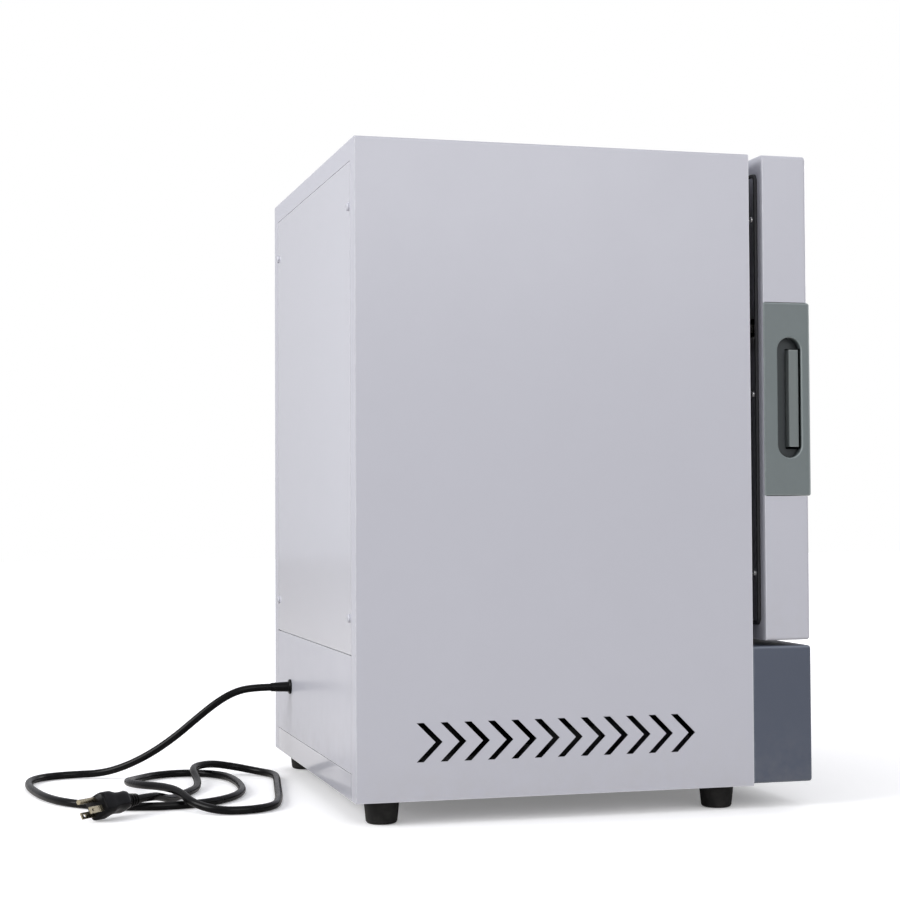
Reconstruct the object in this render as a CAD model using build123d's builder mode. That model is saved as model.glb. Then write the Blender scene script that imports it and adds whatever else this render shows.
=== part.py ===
from math import asin, cos, degrees, radians, sin, tan
import os

from build123d import *

# A bench drying oven: a painted steel cabinet on rubber feet, a stainless chamber in
# mineral wool, a base compartment with the fan motor and the electrics, a control panel
# under a right-hinged door with a recessed latch handle, and a mains lead with its plug.
# Millimetres. X runs to the oven's right, -Y is its front, Z is up, and the floor is Z = 0.

# Cabinet
CABINET_W = 436.0
CABINET_D = 397.0
CABINET_H = 620.0
SHEET = 1.2            # painted steel sheet
BEND = 2.4             # outside radius of the wrapper's folds
RIM = 20.0             # rear rim beside and above the covers
LEDGE = 12.0           # step behind the rim that the covers lie on
SEAM = 0.6             # gap round each rear cover
FIT = 0.3              # gap between pieces that are folded to fit
BASE_SPLIT = 135.0     # height of the seam between the rear covers
SKIRT_H = 25.0         # height of the strip under the lower rear panel

# Feet and screws
FOOT_H = 22.0
FOOT_TOP_R = 17.0
FOOT_BOTTOM_R = 15.0
FOOT_INSET_X = 25.0
FOOT_INSET_Y = 29.5
SCREW_R = 1.8
SCREW_HEAD_R = 4.0
SCREW_HEAD_H = 2.4
SCREW_LENGTH = 9.0
FOOT_SCREW_R = 2.5
FOOT_SCREW_HEAD_R = 5.0

# Side vents, chevrons that point to the front
VENT_COUNT = 12
VENT_PITCH = 23.0
VENT_H = 36.5
VENT_STROKE = 7.0
VENT_FIRST_Y = 339.6   # rear corner of the rearmost chevron, from the cabinet's front
VENT_Z = 54.2          # middle of the row, above the cabinet's underside

# Chamber
SIDE_WALL = 58.0       # from the cabinet's side to the chamber
CHAMBER_W = CABINET_W - 2 * SIDE_WALL
CHAMBER_D = 330.0
CHAMBER_H = 368.0
LINER = 1.0            # stainless sheet
LINER_FLANGE = 15.0
CHAMBER_Z = 195.0      # underside of the liner, above the cabinet's underside
FLOOR_PLATE_Z = 38.0   # perforated floor, above the liner's underside
FLOOR_PLATE = 1.0
SHELF_LEVELS = (105.0, 195.0, 285.0)
SHELF_ROD_R = 2.5
SHELF_WIRE_R = 1.5
SHELF_WIRES = 13
RAIL_LEDGE = 13.0
RAIL_INSET = 24.0      # the rails' ends from the chamber's mouth and rear
UPRIGHT_W = 26.0
SLOT_COLUMN = 25.0     # the floor plate's outer slots, from the chamber's wall
SLOT_MARGIN = 39.0     # from the chamber's ends to the outer slots
SLOT_L = 26.0
SLOT_W = 8.0
FRAME_T = 1.5
FRAME_FLANGE = 14.0
DECK_Z = 137.0
DECK_T = 1.5
WOOL_GAP = 0.4
WOOL_FRONT = 16.0      # the wool starts behind the front frame's flange
WOOL_REAR = 18.0       # wiring space between the wool and the rear cover
SINK_INSET = 78.0      # the heat sink's middle, from the cabinet's left side

# Air circulation
HEATER_INSET = 60.0    # from the chamber's rear to the heater's ring
HEATER_RING_R = CHAMBER_D / 2 - HEATER_INSET
HEATER_TUBE_R = 4.0
HEATER_ELBOW_R = 5.4
HEATER_LEG_X = 12.0
FAN_SHAFT_R = 4.0
RUNNING = 0.05         # radial clearance of a shaft in its hole
FAN_R = HEATER_RING_R - 30.0
FAN_BLADES = 10
FAN_BLADE_H = 20.0
MOTOR_R = 42.0
MOTOR_H = 62.0
MOTOR_Z = 46.0

# Top vent
VENT_TUBE_R = 19.0
VENT_TUBE_WALL = 2.0
VENT_TUBE_H = 10.0     # above the cabinet's top
VENT_FLANGE_R = 32.0
VENT_FLANGE_T = 2.0
VENT_Y = 200.0
DAMPER_T = 1.5
DAMPER_PIN_R = 2.0
DAMPER_REACH = 27.0    # from the tube's centre to the damper's pin

# Door
DOOR_GAP = 14.5
DOOR_T = 47.0
DOOR_Z = 141.0
DOOR_EDGE = 3.0
DOOR_FLANGE_LEFT = 12.0
DOOR_FLANGE_TOP = 16.0
DOOR_FLANGE_BOTTOM = 14.4
DOOR_FLANGE_RIGHT = 30.0
SEAL_W = 4.0
SEAL_PROUD = 0.6
PANEL_STAND = 2.5      # the inner panel stands this far out of the door's back
WINDOW_W = 200.0
WINDOW_H = 220.0
WINDOW_Z = 380.0
GLASS_T = 4.0
SLEEVE = 1.5
BEZEL_W = 14.0
BEZEL_PROUD = 1.2
GASKET_W = 11.0
GASKET_GAP = 0.3

# Hinges
HINGE_PIN_R = 2.0
BARREL_R = 4.5
LEAF_H = 60.0
LEAF_T = 1.5
LEAF_W = 21.0
HINGE_LEVELS = (230.0, 530.0)
SIDE_PROUD = 1.0       # the barrels and the handle both stand this far out of the sides

# Handle and latch
HANDLE_PROUD = 3.5
HANDLE_Z0 = 283.0
HANDLE_Z1 = 474.0
HANDLE_W = 59.0
HANDLE_WALL = 3.0
HANDLE_EDGE = 5.0
HANDLE_END = 2.2       # rounding of the block's top and bottom edges
GRIP_W = 25.6          # finger recess, a stadium in the block's side
GRIP_H = 119.0
GRIP_D = 11.0
GRIP_Y = -41.7
GRIP_Z = 379.9
GRIP_WALL = 2.0
GRIP_WINDOW_Y = (-60.0, -41.7)
GRIP_WINDOW_Z = (329.3, 428.8)
PADDLE_Y = (-52.6, -42.3)
PADDLE_Z = (331.6, 427.4)
PADDLE_DEPTH = 3.0     # the paddle's face lies this far in from the block's side
PADDLE_T = 10.0
LATCH_INSET = 26.0     # the shaft, from the cabinet's left side
LATCH_X = LATCH_INSET - CABINET_W / 2
LATCH_Y = -47.0
LATCH_SHAFT_R = 3.0
LATCH_RIBS = (296.0, 458.0)
RIB_T = 6.0
HOOK_Z = 450.0
HOOK_H = 8.0
HOOK_T = 4.0
NOSE = 3.0
NOSE_T = 3.5
NOSE_Y = -3.0          # the nose ends this far in front of the cabinet
CATCH_GAP = 0.5        # between the nose's tip and the striker's lip
CATCH_LIP_Y = (-9.0, -7.2)

# Control panel
PANEL_D = 62.5
PANEL_H = 133.5
PANEL_Z = 2.0
PANEL_WALL = 3.0
PANEL_EDGE = 3.0
CONTROLS_Z = 70.0
DISPLAY_X = -95.0
DISPLAY_W = 96.0
DISPLAY_H = 46.0
BUTTON_X = (-12.0, 18.0, 48.0, 78.0)
BUTTON_W = 20.0
BUTTON_H = 12.0
BUTTON_R = 3.0
BUTTON_PROUD = 2.0
BUTTON_TRAVEL = 1.5
BUTTON_GAP = 0.3
SWITCH_X = 150.0
SWITCH_W = 20.0
SWITCH_H = 30.0
SWITCH_TILT = 7.0      # the rocker rests tilted this far, off, with its upper end out
SWITCH_PIVOT = 4.0     # depth of the rocker's pivot behind the panel's face

# Mains lead
CORD_R = 4.0
CORD_INSET = 98.0      # the lead's exit, from the cabinet's right side
CORD_X = CABINET_W / 2 - CORD_INSET
CORD_Z = 77.5
BUSHING_FLANGE_R = 8.0
BUSHING_FLANGE_T = 2.5
SLEEVE_LENGTH = 22.0
PLUG_W = 25.0
PLUG_H = 22.0
PLUG_BODY = 38.0
PLUG_RELIEF = 17.0
PLUG_ROLL = 30.0
BLADE_PITCH = 12.7
BLADE_W = 6.35
BLADE_T = 1.5
BLADE_L = 16.5
EARTH_R = 2.4
EARTH_L = 20.0
EARTH_OFFSET = 11.9

# Levels and planes that the sizes above give
FRONT = (DOOR_GAP + DOOR_T + HANDLE_PROUD - CABINET_D - SCREW_HEAD_H) / 2
REAR = FRONT + CABINET_D
BOTTOM = FOOT_H
TOP = BOTTOM + CABINET_H
SIDE = CABINET_W / 2
INNER_SIDE = SIDE - SHEET
DOOR_REAR = FRONT - DOOR_GAP
DOOR_FRONT = DOOR_REAR - DOOR_T
PANEL_FRONT = FRONT - PANEL_D
LINER_SIDE = CHAMBER_W / 2 + LINER
LINER_BOTTOM = BOTTOM + CHAMBER_Z
LINER_TOP = LINER_BOTTOM + CHAMBER_H + 2 * LINER
LINER_REAR = FRONT + CHAMBER_D + LINER
FAN_Y = FRONT + CHAMBER_D / 2
PROBE_SPOT = (90.0, LINER_TOP - 70)
HEATER_LEG_Y = FAN_Y + (HEATER_RING_R ** 2 - HEATER_LEG_X ** 2) ** 0.5
HEATER_LEGS = ((-HEATER_LEG_X, HEATER_LEG_Y), (HEATER_LEG_X, HEATER_LEG_Y))
WOOL_SIDE = INNER_SIDE - WOOL_GAP
WOOL_Y0 = FRONT + WOOL_FRONT
WOOL_Y1 = REAR - WOOL_REAR
DECK_TOP = BOTTOM + DECK_Z + DECK_T
SINK_X = SINK_INSET - SIDE
COVER_SIDE = SIDE - RIM - SEAM
COVER_SCREW_X = SIDE - RIM - LEDGE / 2 - 1.0
COVER_SCREW_Z = (169.5, 557.0)
BARREL_X = SIDE + SIDE_PROUD - BARREL_R
BARREL_Y = FRONT - DOOR_GAP / 2 + 0.25

os.makedirs("parts", exist_ok=True)


def facing_front(y):
    """A plane at this y with x and z as its axes; extrusions run towards the front."""
    return Plane.XZ.offset(-y)


def facing_right(x):
    """A plane at this x with y and z as its axes; extrusions run to the right."""
    return Plane.YZ.offset(x)


def level(z):
    """A plane at this height; extrusions run upwards."""
    return Plane.XY.offset(z)


def patch(a0, a1, b0, b1, corner=0.0, mode=Mode.ADD):
    """A rectangle between two limits on each axis of the sketch, with round corners."""
    with Locations(((a0 + a1) / 2, (b0 + b1) / 2)):
        if corner:
            RectangleRounded(abs(a1 - a0), abs(b1 - b0), corner, mode=mode)
        else:
            Rectangle(abs(a1 - a0), abs(b1 - b0), mode=mode)


def save(builder, label):
    """Label a finished piece and write it under its own name."""
    builder.part.label = label
    export_step(builder.part, f"parts/{label}.step")


def pan_head_screw(shank_r, head_r, head_h, length):
    """A pan-head screw on its own axis, its head above Z = 0 and its shank below."""
    with BuildPart() as screw:
        with BuildSketch():
            Circle(head_r)
        extrude(amount=head_h)
        fillet(screw.edges().sort_by(Axis.Z)[-1], radius=head_h * 0.75)
        with BuildSketch():
            Circle(shank_r)
        extrude(amount=-length)
    return screw.part


# Cabinet wrapper: top and two sides folded from one sheet, with a rim round the back
with BuildPart() as cabinet_shell:
    with BuildSketch(facing_front(REAR)):
        patch(-SIDE, SIDE, BOTTOM, TOP)
    extrude(amount=CABINET_D)
    top_folds = cabinet_shell.edges().filter_by(Axis.Y).group_by(Axis.Z)[-1]
    fillet(top_folds, radius=BEND)
    front_face = cabinet_shell.faces().filter_by(Axis.Y).sort_by(Axis.Y)[0]
    bottom_face = cabinet_shell.faces().filter_by(Axis.Z).sort_by(Axis.Z)[0]
    offset(amount=-SHEET, openings=[front_face, bottom_face])
    with BuildSketch(facing_front(REAR)):
        patch(-SIDE + RIM, SIDE - RIM, BOTTOM, TOP - RIM)
    extrude(amount=SHEET, mode=Mode.SUBTRACT)
    with BuildSketch(facing_front(REAR - SHEET)):
        lap = 2.0
        patch(-SIDE + RIM - lap, SIDE - RIM + lap, BOTTOM + SKIRT_H, TOP - RIM + lap)
        inner = SIDE - RIM - LEDGE
        patch(-inner, inner, BOTTOM + SKIRT_H, TOP - RIM - LEDGE, mode=Mode.SUBTRACT)
    extrude(amount=SHEET)
    with BuildSketch(facing_right(-SIDE)):
        arm = VENT_H / 2
        rows = [(FRONT + VENT_FIRST_Y - n * VENT_PITCH, BOTTOM + VENT_Z) for n in range(VENT_COUNT)]
        with Locations(*rows):
            Polygon(
                (0, arm), (-VENT_STROKE, arm), (-VENT_STROKE - arm, 0),
                (-VENT_STROKE, -arm), (0, -arm), (-arm, 0),
                align=None,
            )
    extrude(amount=CABINET_W, mode=Mode.SUBTRACT)
    with BuildSketch(level(TOP - SHEET)):
        with Locations((0, FRONT + VENT_Y)):
            Circle(VENT_TUBE_R + FIT)
    extrude(amount=SHEET, mode=Mode.SUBTRACT)
    with BuildSketch(facing_front(REAR - SHEET)):
        with Locations(*[(x, BOTTOM + z) for x in (-COVER_SCREW_X, COVER_SCREW_X) for z in COVER_SCREW_Z]):
            Circle(SCREW_R + FIT)
    extrude(amount=SHEET, mode=Mode.SUBTRACT)
save(cabinet_shell, "cabinet_shell")

# Base pan: the floor of the cabinet, folded up at the sides and at the rear
with BuildPart() as base_pan:
    pan_side = INNER_SIDE - FIT
    with BuildSketch(level(BOTTOM)):
        patch(-pan_side, pan_side, FRONT, REAR - SHEET - FIT)
        patch(-COVER_SIDE, COVER_SIDE, FRONT, REAR)
        for x in (-SIDE + FOOT_INSET_X, SIDE - FOOT_INSET_X):
            for y in (FRONT + FOOT_INSET_Y, REAR - FOOT_INSET_Y):
                with Locations((x, y)):
                    Circle(FOOT_SCREW_R + 0.1, mode=Mode.SUBTRACT)
    extrude(amount=FRAME_T)
    with BuildSketch(level(BOTTOM)):
        for side in (-1, 1):
            patch(side * pan_side, side * (pan_side - FRAME_T), WOOL_Y0, REAR - SHEET - FIT)
    extrude(amount=20)
    with BuildSketch(facing_front(REAR)):
        patch(-COVER_SIDE, COVER_SIDE, BOTTOM, BOTTOM + SKIRT_H - SEAM)
    extrude(amount=SHEET)
save(base_pan, "base_pan")

# Rear cover, flush in the rim, with a screw in each corner
with BuildPart() as rear_cover:
    with BuildSketch(facing_front(REAR)):
        patch(-COVER_SIDE, COVER_SIDE, BOTTOM + BASE_SPLIT + SEAM, TOP - RIM - SEAM)
        with Locations(*[(x, BOTTOM + z) for x in (-COVER_SCREW_X, COVER_SCREW_X) for z in COVER_SCREW_Z]):
            Circle(SCREW_R + FIT, mode=Mode.SUBTRACT)
    extrude(amount=SHEET)
save(rear_cover, "rear_cover")

# Lower rear panel, with the lead's hole
with BuildPart() as rear_lower_panel:
    with BuildSketch(facing_front(REAR)):
        patch(-COVER_SIDE, COVER_SIDE, BOTTOM + SKIRT_H, BOTTOM + BASE_SPLIT - SEAM)
        with Locations((CORD_X, BOTTOM + CORD_Z)):
            Circle(CORD_R + 2.2, mode=Mode.SUBTRACT)
    extrude(amount=SHEET)
save(rear_lower_panel, "rear_lower_panel")

cover_screw = pan_head_screw(SCREW_R, SCREW_HEAD_R, SCREW_HEAD_H, SCREW_LENGTH)
with BuildPart() as rear_cover_screws:
    for x in (-COVER_SCREW_X, COVER_SCREW_X):
        for z in COVER_SCREW_Z:
            with Locations(Location((x, REAR, BOTTOM + z), (-90, 0, 0))):
                add(cover_screw)
save(rear_cover_screws, "rear_cover_screws")

# Front frame: the painted face round the chamber's mouth, with a hole for the wiring below
with BuildPart() as front_frame:
    frame_side = INNER_SIDE - FIT
    frame_bottom = BOTTOM + FRAME_T
    frame_top = TOP - SHEET - FIT
    with BuildSketch(facing_front(FRONT + FRAME_T)):
        patch(-frame_side, frame_side, frame_bottom, frame_top, corner=BEND)
        mouth = LINER_SIDE + FIT
        patch(-mouth, mouth, LINER_BOTTOM - FIT, LINER_TOP + FIT, mode=Mode.SUBTRACT)
        patch(68 - SIDE, SIDE - 68, BOTTOM + 30, BOTTOM + 110, mode=Mode.SUBTRACT)
    extrude(amount=FRAME_T)
    with BuildSketch(facing_front(FRONT + FRAME_FLANGE)):
        patch(-frame_side, frame_side, frame_bottom + 22, frame_top, corner=BEND)
        patch(-frame_side + FRAME_T, frame_side - FRAME_T, frame_bottom + 22, frame_top - FRAME_T,
              mode=Mode.SUBTRACT)
    extrude(amount=FRAME_FLANGE - FRAME_T)
save(front_frame, "front_frame")

# Chamber liner: a stainless box with a flange round its mouth
with BuildPart() as chamber_liner:
    with BuildSketch(facing_front(LINER_REAR)):
        patch(-LINER_SIDE, LINER_SIDE, LINER_BOTTOM, LINER_TOP)
    extrude(amount=LINER_REAR - FRONT + LINER)
    mouth_face = chamber_liner.faces().filter_by(Axis.Y).sort_by(Axis.Y)[0]
    offset(amount=-LINER, openings=[mouth_face])
    with BuildSketch(facing_front(FRONT)):
        reach = LINER_SIDE + LINER_FLANGE
        patch(-reach, reach, LINER_BOTTOM - LINER_FLANGE, LINER_TOP + LINER_FLANGE, corner=4)
        patch(-LINER_SIDE, LINER_SIDE, LINER_BOTTOM, LINER_TOP, mode=Mode.SUBTRACT)
    extrude(amount=LINER)
    with BuildSketch(level(LINER_BOTTOM)):
        with Locations((0, FAN_Y)):
            Circle(FAN_SHAFT_R + 2)
        with Locations(*HEATER_LEGS):
            Circle(HEATER_TUBE_R + FIT)
    extrude(amount=LINER, mode=Mode.SUBTRACT)
    with BuildSketch(level(LINER_TOP - LINER)):
        with Locations((0, FRONT + VENT_Y)):
            Circle(VENT_TUBE_R + 0.2)
    extrude(amount=LINER, mode=Mode.SUBTRACT)
    with BuildSketch(facing_front(LINER_REAR)):
        with Locations(PROBE_SPOT):
            Circle(2.6)
    extrude(amount=LINER, mode=Mode.SUBTRACT)
save(chamber_liner, "chamber_liner")

# Silicone gasket on the liner's flange, just short of the door's inner panel
with BuildPart() as chamber_gasket:
    gasket_out = LINER_SIDE + LINER_FLANGE - 2
    gasket_depth = DOOR_GAP - PANEL_STAND - GASKET_GAP - LINER
    with BuildSketch(facing_front(FRONT - LINER)):
        z0 = LINER_BOTTOM - LINER_FLANGE + 2
        z1 = LINER_TOP + LINER_FLANGE - 2
        patch(-gasket_out, gasket_out, z0, z1, corner=12)
        inner = gasket_out - GASKET_W
        patch(-inner, inner, z0 + GASKET_W, z1 - GASKET_W, corner=4, mode=Mode.SUBTRACT)
    extrude(amount=gasket_depth)
    lip = chamber_gasket.faces().filter_by(Axis.Y).sort_by(Axis.Y)[0]
    chamfer(lip.edges(), length=2.5)
save(chamber_gasket, "chamber_gasket")

# Mineral wool over, beside and behind the chamber, in four slabs
with BuildPart() as chamber_insulation:
    with BuildSketch(level(LINER_TOP + WOOL_GAP)):
        patch(-WOOL_SIDE, WOOL_SIDE, WOOL_Y0, WOOL_Y1)
        with Locations((0, FRONT + VENT_Y)):
            Circle(VENT_TUBE_R + WOOL_GAP, mode=Mode.SUBTRACT)
    extrude(amount=TOP - SHEET - LINER_TOP - 2 * WOOL_GAP)
    with BuildSketch(level(LINER_BOTTOM)):
        for side in (-1, 1):
            patch(side * (LINER_SIDE + WOOL_GAP), side * WOOL_SIDE, WOOL_Y0, WOOL_Y1)
    extrude(amount=LINER_TOP - LINER_BOTTOM)
    with BuildSketch(facing_front(WOOL_Y1)):
        patch(-LINER_SIDE, LINER_SIDE, LINER_BOTTOM, LINER_TOP)
        with Locations(PROBE_SPOT):
            Circle(9, mode=Mode.SUBTRACT)
    extrude(amount=WOOL_Y1 - LINER_REAR - WOOL_GAP)
save(chamber_insulation, "chamber_insulation")

with BuildPart() as insulation_base:
    with BuildSketch(level(DECK_TOP + WOOL_GAP)):
        patch(-WOOL_SIDE, WOOL_SIDE, WOOL_Y0, WOOL_Y1)
        with Locations((0, FAN_Y)):
            Circle(12, mode=Mode.SUBTRACT)
        with Locations(*HEATER_LEGS):
            Circle(HEATER_TUBE_R + 2, mode=Mode.SUBTRACT)
    extrude(amount=LINER_BOTTOM - DECK_TOP - 2 * WOOL_GAP)
save(insulation_base, "insulation_base")

# Deck between the chamber and the base compartment; its rear fold backs the covers' seam
with BuildPart() as base_deck:
    with BuildSketch(level(BOTTOM + DECK_Z)):
        patch(-INNER_SIDE + FIT, INNER_SIDE - FIT, FRONT + FRAME_FLANGE + 1, REAR - 2 * SHEET - FIT)
        with Locations((0, FAN_Y)):
            Circle(FAN_SHAFT_R + 6, mode=Mode.SUBTRACT)
        with Locations(*HEATER_LEGS):
            Circle(HEATER_TUBE_R, mode=Mode.SUBTRACT)
    extrude(amount=DECK_T)
    with BuildSketch(facing_front(REAR - SHEET)):
        fold_side = SIDE - RIM - LEDGE - FIT
        patch(-fold_side, fold_side, BOTTOM + BASE_SPLIT - 14, DECK_TOP)
    extrude(amount=SHEET + FIT)
save(base_deck, "base_deck")

# Perforated chamber floor on two folded sides, over the fan and the heater
with BuildPart() as chamber_floor_plate:
    plate_side = CHAMBER_W / 2 - FIT
    plate_z = LINER_BOTTOM + FLOOR_PLATE_Z
    plate_y0 = FRONT + 2
    plate_y1 = LINER_REAR - LINER - FIT
    with BuildSketch(level(plate_z)):
        patch(-plate_side, plate_side, plate_y0, plate_y1)
        with Locations((0, FAN_Y)):
            with PolarLocations((FAN_R + 1) / 2, 12):
                SlotOverall(FAN_R - 35, SLOT_W, mode=Mode.SUBTRACT)
        for x in (SLOT_COLUMN - CHAMBER_W / 2, CHAMBER_W / 2 - SLOT_COLUMN):
            with Locations((x, FAN_Y)):
                with GridLocations(1, (CHAMBER_D - 2 * SLOT_MARGIN) / 7, 1, 8):
                    SlotOverall(SLOT_L, SLOT_W, mode=Mode.SUBTRACT)
    extrude(amount=FLOOR_PLATE)
    with BuildSketch(level(LINER_BOTTOM + LINER)):
        patch(-plate_side, plate_side, plate_y0, plate_y0 + FLOOR_PLATE)
        patch(-plate_side, plate_side, plate_y1 - FLOOR_PLATE, plate_y1)
    extrude(until=Until.NEXT)
save(chamber_floor_plate, "chamber_floor_plate")

# Ring heater under the floor plate, on two legs through the liner with an elbow on each
with BuildPart() as heating_element:
    ring_z = LINER_BOTTOM + 19
    half_gap = asin(HEATER_LEG_X / HEATER_RING_R)
    outward = Vector(-sin(half_gap), cos(half_gap), 0)
    with BuildSketch(Plane((0, FAN_Y, ring_z), x_dir=outward, z_dir=(-outward.Y, outward.X, 0))):
        with Locations((HEATER_RING_R, 0)):
            Circle(HEATER_TUBE_R)
    revolve(axis=Axis((0, FAN_Y, 0), (0, 0, 1)), revolution_arc=360 - 2 * degrees(half_gap))
    with BuildSketch(level(LINER_BOTTOM - 10)):
        with Locations(*HEATER_LEGS):
            Circle(HEATER_TUBE_R)
    extrude(amount=ring_z - LINER_BOTTOM + 10)
    with BuildSketch(level(ring_z - HEATER_ELBOW_R - 1)):
        with Locations(*HEATER_LEGS):
            Circle(HEATER_ELBOW_R)
    extrude(amount=2 * HEATER_ELBOW_R + 1)
save(heating_element, "heating_element")

# Fan motor in the base compartment, hung from the deck by its bracket
with BuildPart() as fan_motor:
    z0 = BOTTOM + MOTOR_Z
    with BuildSketch(Plane.XZ.offset(-FAN_Y)):
        with BuildLine():
            Polyline(
                (0, z0 + 12), (0, z0), (14, z0), (14, z0 + 4), (MOTOR_R - 8, z0 + 4),
                (MOTOR_R - 4, z0 + 8), (MOTOR_R - 4, z0 + 14), (MOTOR_R, z0 + 14),
                (MOTOR_R, z0 + MOTOR_H - 14), (MOTOR_R - 4, z0 + MOTOR_H - 14),
                (MOTOR_R - 4, z0 + MOTOR_H), (12, z0 + MOTOR_H), (12, z0 + MOTOR_H + 5),
                (FAN_SHAFT_R + RUNNING, z0 + MOTOR_H + 5), (FAN_SHAFT_R + RUNNING, z0 + 12), (0, z0 + 12),
            )
        make_face()
    revolve(axis=Axis((0, FAN_Y, 0), (0, 0, 1)))
save(fan_motor, "fan_motor")

with BuildPart() as motor_bracket:
    plate_z = BOTTOM + MOTOR_Z + MOTOR_H
    with BuildSketch(level(plate_z)):
        with Locations((0, FAN_Y)):
            RectangleRounded(136, 70, 6)
            Circle(12 + FIT, mode=Mode.SUBTRACT)
    extrude(amount=2)
    with BuildSketch(level(plate_z)):
        for side in (-1, 1):
            patch(side * 66, side * 68, FAN_Y - 28, FAN_Y + 28)
    extrude(amount=BOTTOM + DECK_Z - plate_z)
    with BuildSketch(level(BOTTOM + DECK_Z - 2)):
        for side in (-1, 1):
            patch(side * 66, side * 84, FAN_Y - 28, FAN_Y + 28)
    extrude(amount=2)
save(motor_bracket, "motor_bracket")

with BuildPart() as fan_shaft:
    with BuildSketch(level(BOTTOM + MOTOR_Z + 12.2)):
        with Locations((0, FAN_Y)):
            Circle(FAN_SHAFT_R)
    extrude(amount=LINER_BOTTOM + 30 - BOTTOM - MOTOR_Z - 12.2)
    chamfer(fan_shaft.edges().filter_by(GeomType.CIRCLE).sort_by(Axis.Z)[-1], length=0.8)
save(fan_shaft, "fan_shaft")

# Fan wheel: a hub, a back disc and straight raked blades
with BuildPart() as fan_wheel:
    wheel_z = LINER_BOTTOM + 6
    with BuildSketch(level(wheel_z)):
        with Locations((0, FAN_Y)):
            Circle(FAN_R)
    extrude(amount=1.5)
    with BuildSketch(level(wheel_z)):
        with Locations((0, FAN_Y)):
            Circle(11)
    extrude(amount=FAN_BLADE_H)
    with BuildSketch(level(wheel_z)):
        with Locations((0, FAN_Y)):
            with PolarLocations(FAN_R - 25, FAN_BLADES):
                Rectangle(44, 1.4, rotation=24)
    extrude(amount=FAN_BLADE_H)
    with BuildSketch(level(wheel_z)):
        with Locations((0, FAN_Y)):
            Circle(FAN_SHAFT_R + RUNNING)
    extrude(amount=FAN_BLADE_H, mode=Mode.SUBTRACT)
save(fan_wheel, "fan_wheel")

# Shelf rails: two uprights on each wall with three ledges across them
with BuildPart() as shelf_rails:
    wall = CHAMBER_W / 2
    y0, y1 = FRONT + RAIL_INSET, FRONT + CHAMBER_D - RAIL_INSET
    for side in (-1, 1):
        with BuildSketch(facing_right(side * wall)):
            for y in (y0, y1 - UPRIGHT_W):
                patch(y, y + UPRIGHT_W, LINER_BOTTOM + SHELF_LEVELS[0] - 30, LINER_BOTTOM + SHELF_LEVELS[-1] + 30,
                      corner=4)
        extrude(amount=-side * LINER)
        for shelf_z in SHELF_LEVELS:
            with BuildSketch(facing_front(y1)):
                z = LINER_BOTTOM + shelf_z
                patch(side * wall, side * (wall - RAIL_LEDGE), z - LINER, z)
                patch(side * (wall - RAIL_LEDGE), side * (wall - RAIL_LEDGE + LINER), z - 7, z)
            extrude(amount=y1 - y0)
save(shelf_rails, "shelf_rails")

# Wire shelves: a rod frame, two cross rods and a row of wires on top
for name, shelf_z in (("shelf_lower", SHELF_LEVELS[0]), ("shelf_upper", SHELF_LEVELS[2])):
    with BuildPart() as shelf:
        z = LINER_BOTTOM + shelf_z + SHELF_ROD_R + 0.1
        half_w = CHAMBER_W / 2 - LINER - SHELF_ROD_R - 1.5
        y0, y1 = FRONT + 20, FRONT + CHAMBER_D - 14
        r = SHELF_ROD_R
        with BuildLine() as loop:
            FilletPolyline(
                (-half_w, y0, z), (half_w, y0, z), (half_w, y1, z), (-half_w, y1, z),
                radius=12, close=True,
            )
        with BuildSketch(Plane(loop.line @ 0, z_dir=loop.line % 0)):
            Circle(r)
        sweep()
        with BuildSketch(facing_right(-half_w)):
            with Locations((y0 + 0.3 * (y1 - y0), z), (y0 + 0.7 * (y1 - y0), z)):
                Circle(r)
        extrude(amount=2 * half_w)
        with BuildSketch(facing_front(y1)):
            pitch = (2 * half_w - 30) / (SHELF_WIRES - 1)
            with Locations((0, z + r + SHELF_WIRE_R - 0.6)):
                with GridLocations(pitch, 1, SHELF_WIRES, 1):
                    RegularPolygon(SHELF_WIRE_R, 8)
        extrude(amount=y1 - y0)
    save(shelf, name)

# Exhaust tube through the roof, with its flange and the damper's post
vent_centre = (0, FRONT + VENT_Y)
with BuildPart() as vent_tube:
    with BuildSketch(level(LINER_TOP - LINER)):
        with Locations(vent_centre):
            Circle(VENT_TUBE_R)
    extrude(amount=TOP + VENT_TUBE_H - LINER_TOP + LINER)
    with BuildSketch(level(TOP)):
        with Locations(vent_centre):
            Circle(VENT_FLANGE_R)
    extrude(amount=VENT_FLANGE_T)
    with BuildSketch(level(TOP)):
        with Locations((DAMPER_REACH, FRONT + VENT_Y)):
            Circle(DAMPER_PIN_R + 2.5)
    extrude(amount=VENT_TUBE_H)
    with BuildSketch(level(LINER_TOP - LINER)):
        with Locations(vent_centre):
            Circle(VENT_TUBE_R - VENT_TUBE_WALL)
    extrude(amount=TOP + VENT_TUBE_H - LINER_TOP + LINER, mode=Mode.SUBTRACT)
    with BuildSketch(level(TOP + VENT_FLANGE_T)):
        with Locations((DAMPER_REACH, FRONT + VENT_Y)):
            Circle(DAMPER_PIN_R + RUNNING)
    extrude(amount=VENT_TUBE_H - VENT_FLANGE_T, mode=Mode.SUBTRACT)
save(vent_tube, "vent_tube")

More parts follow.
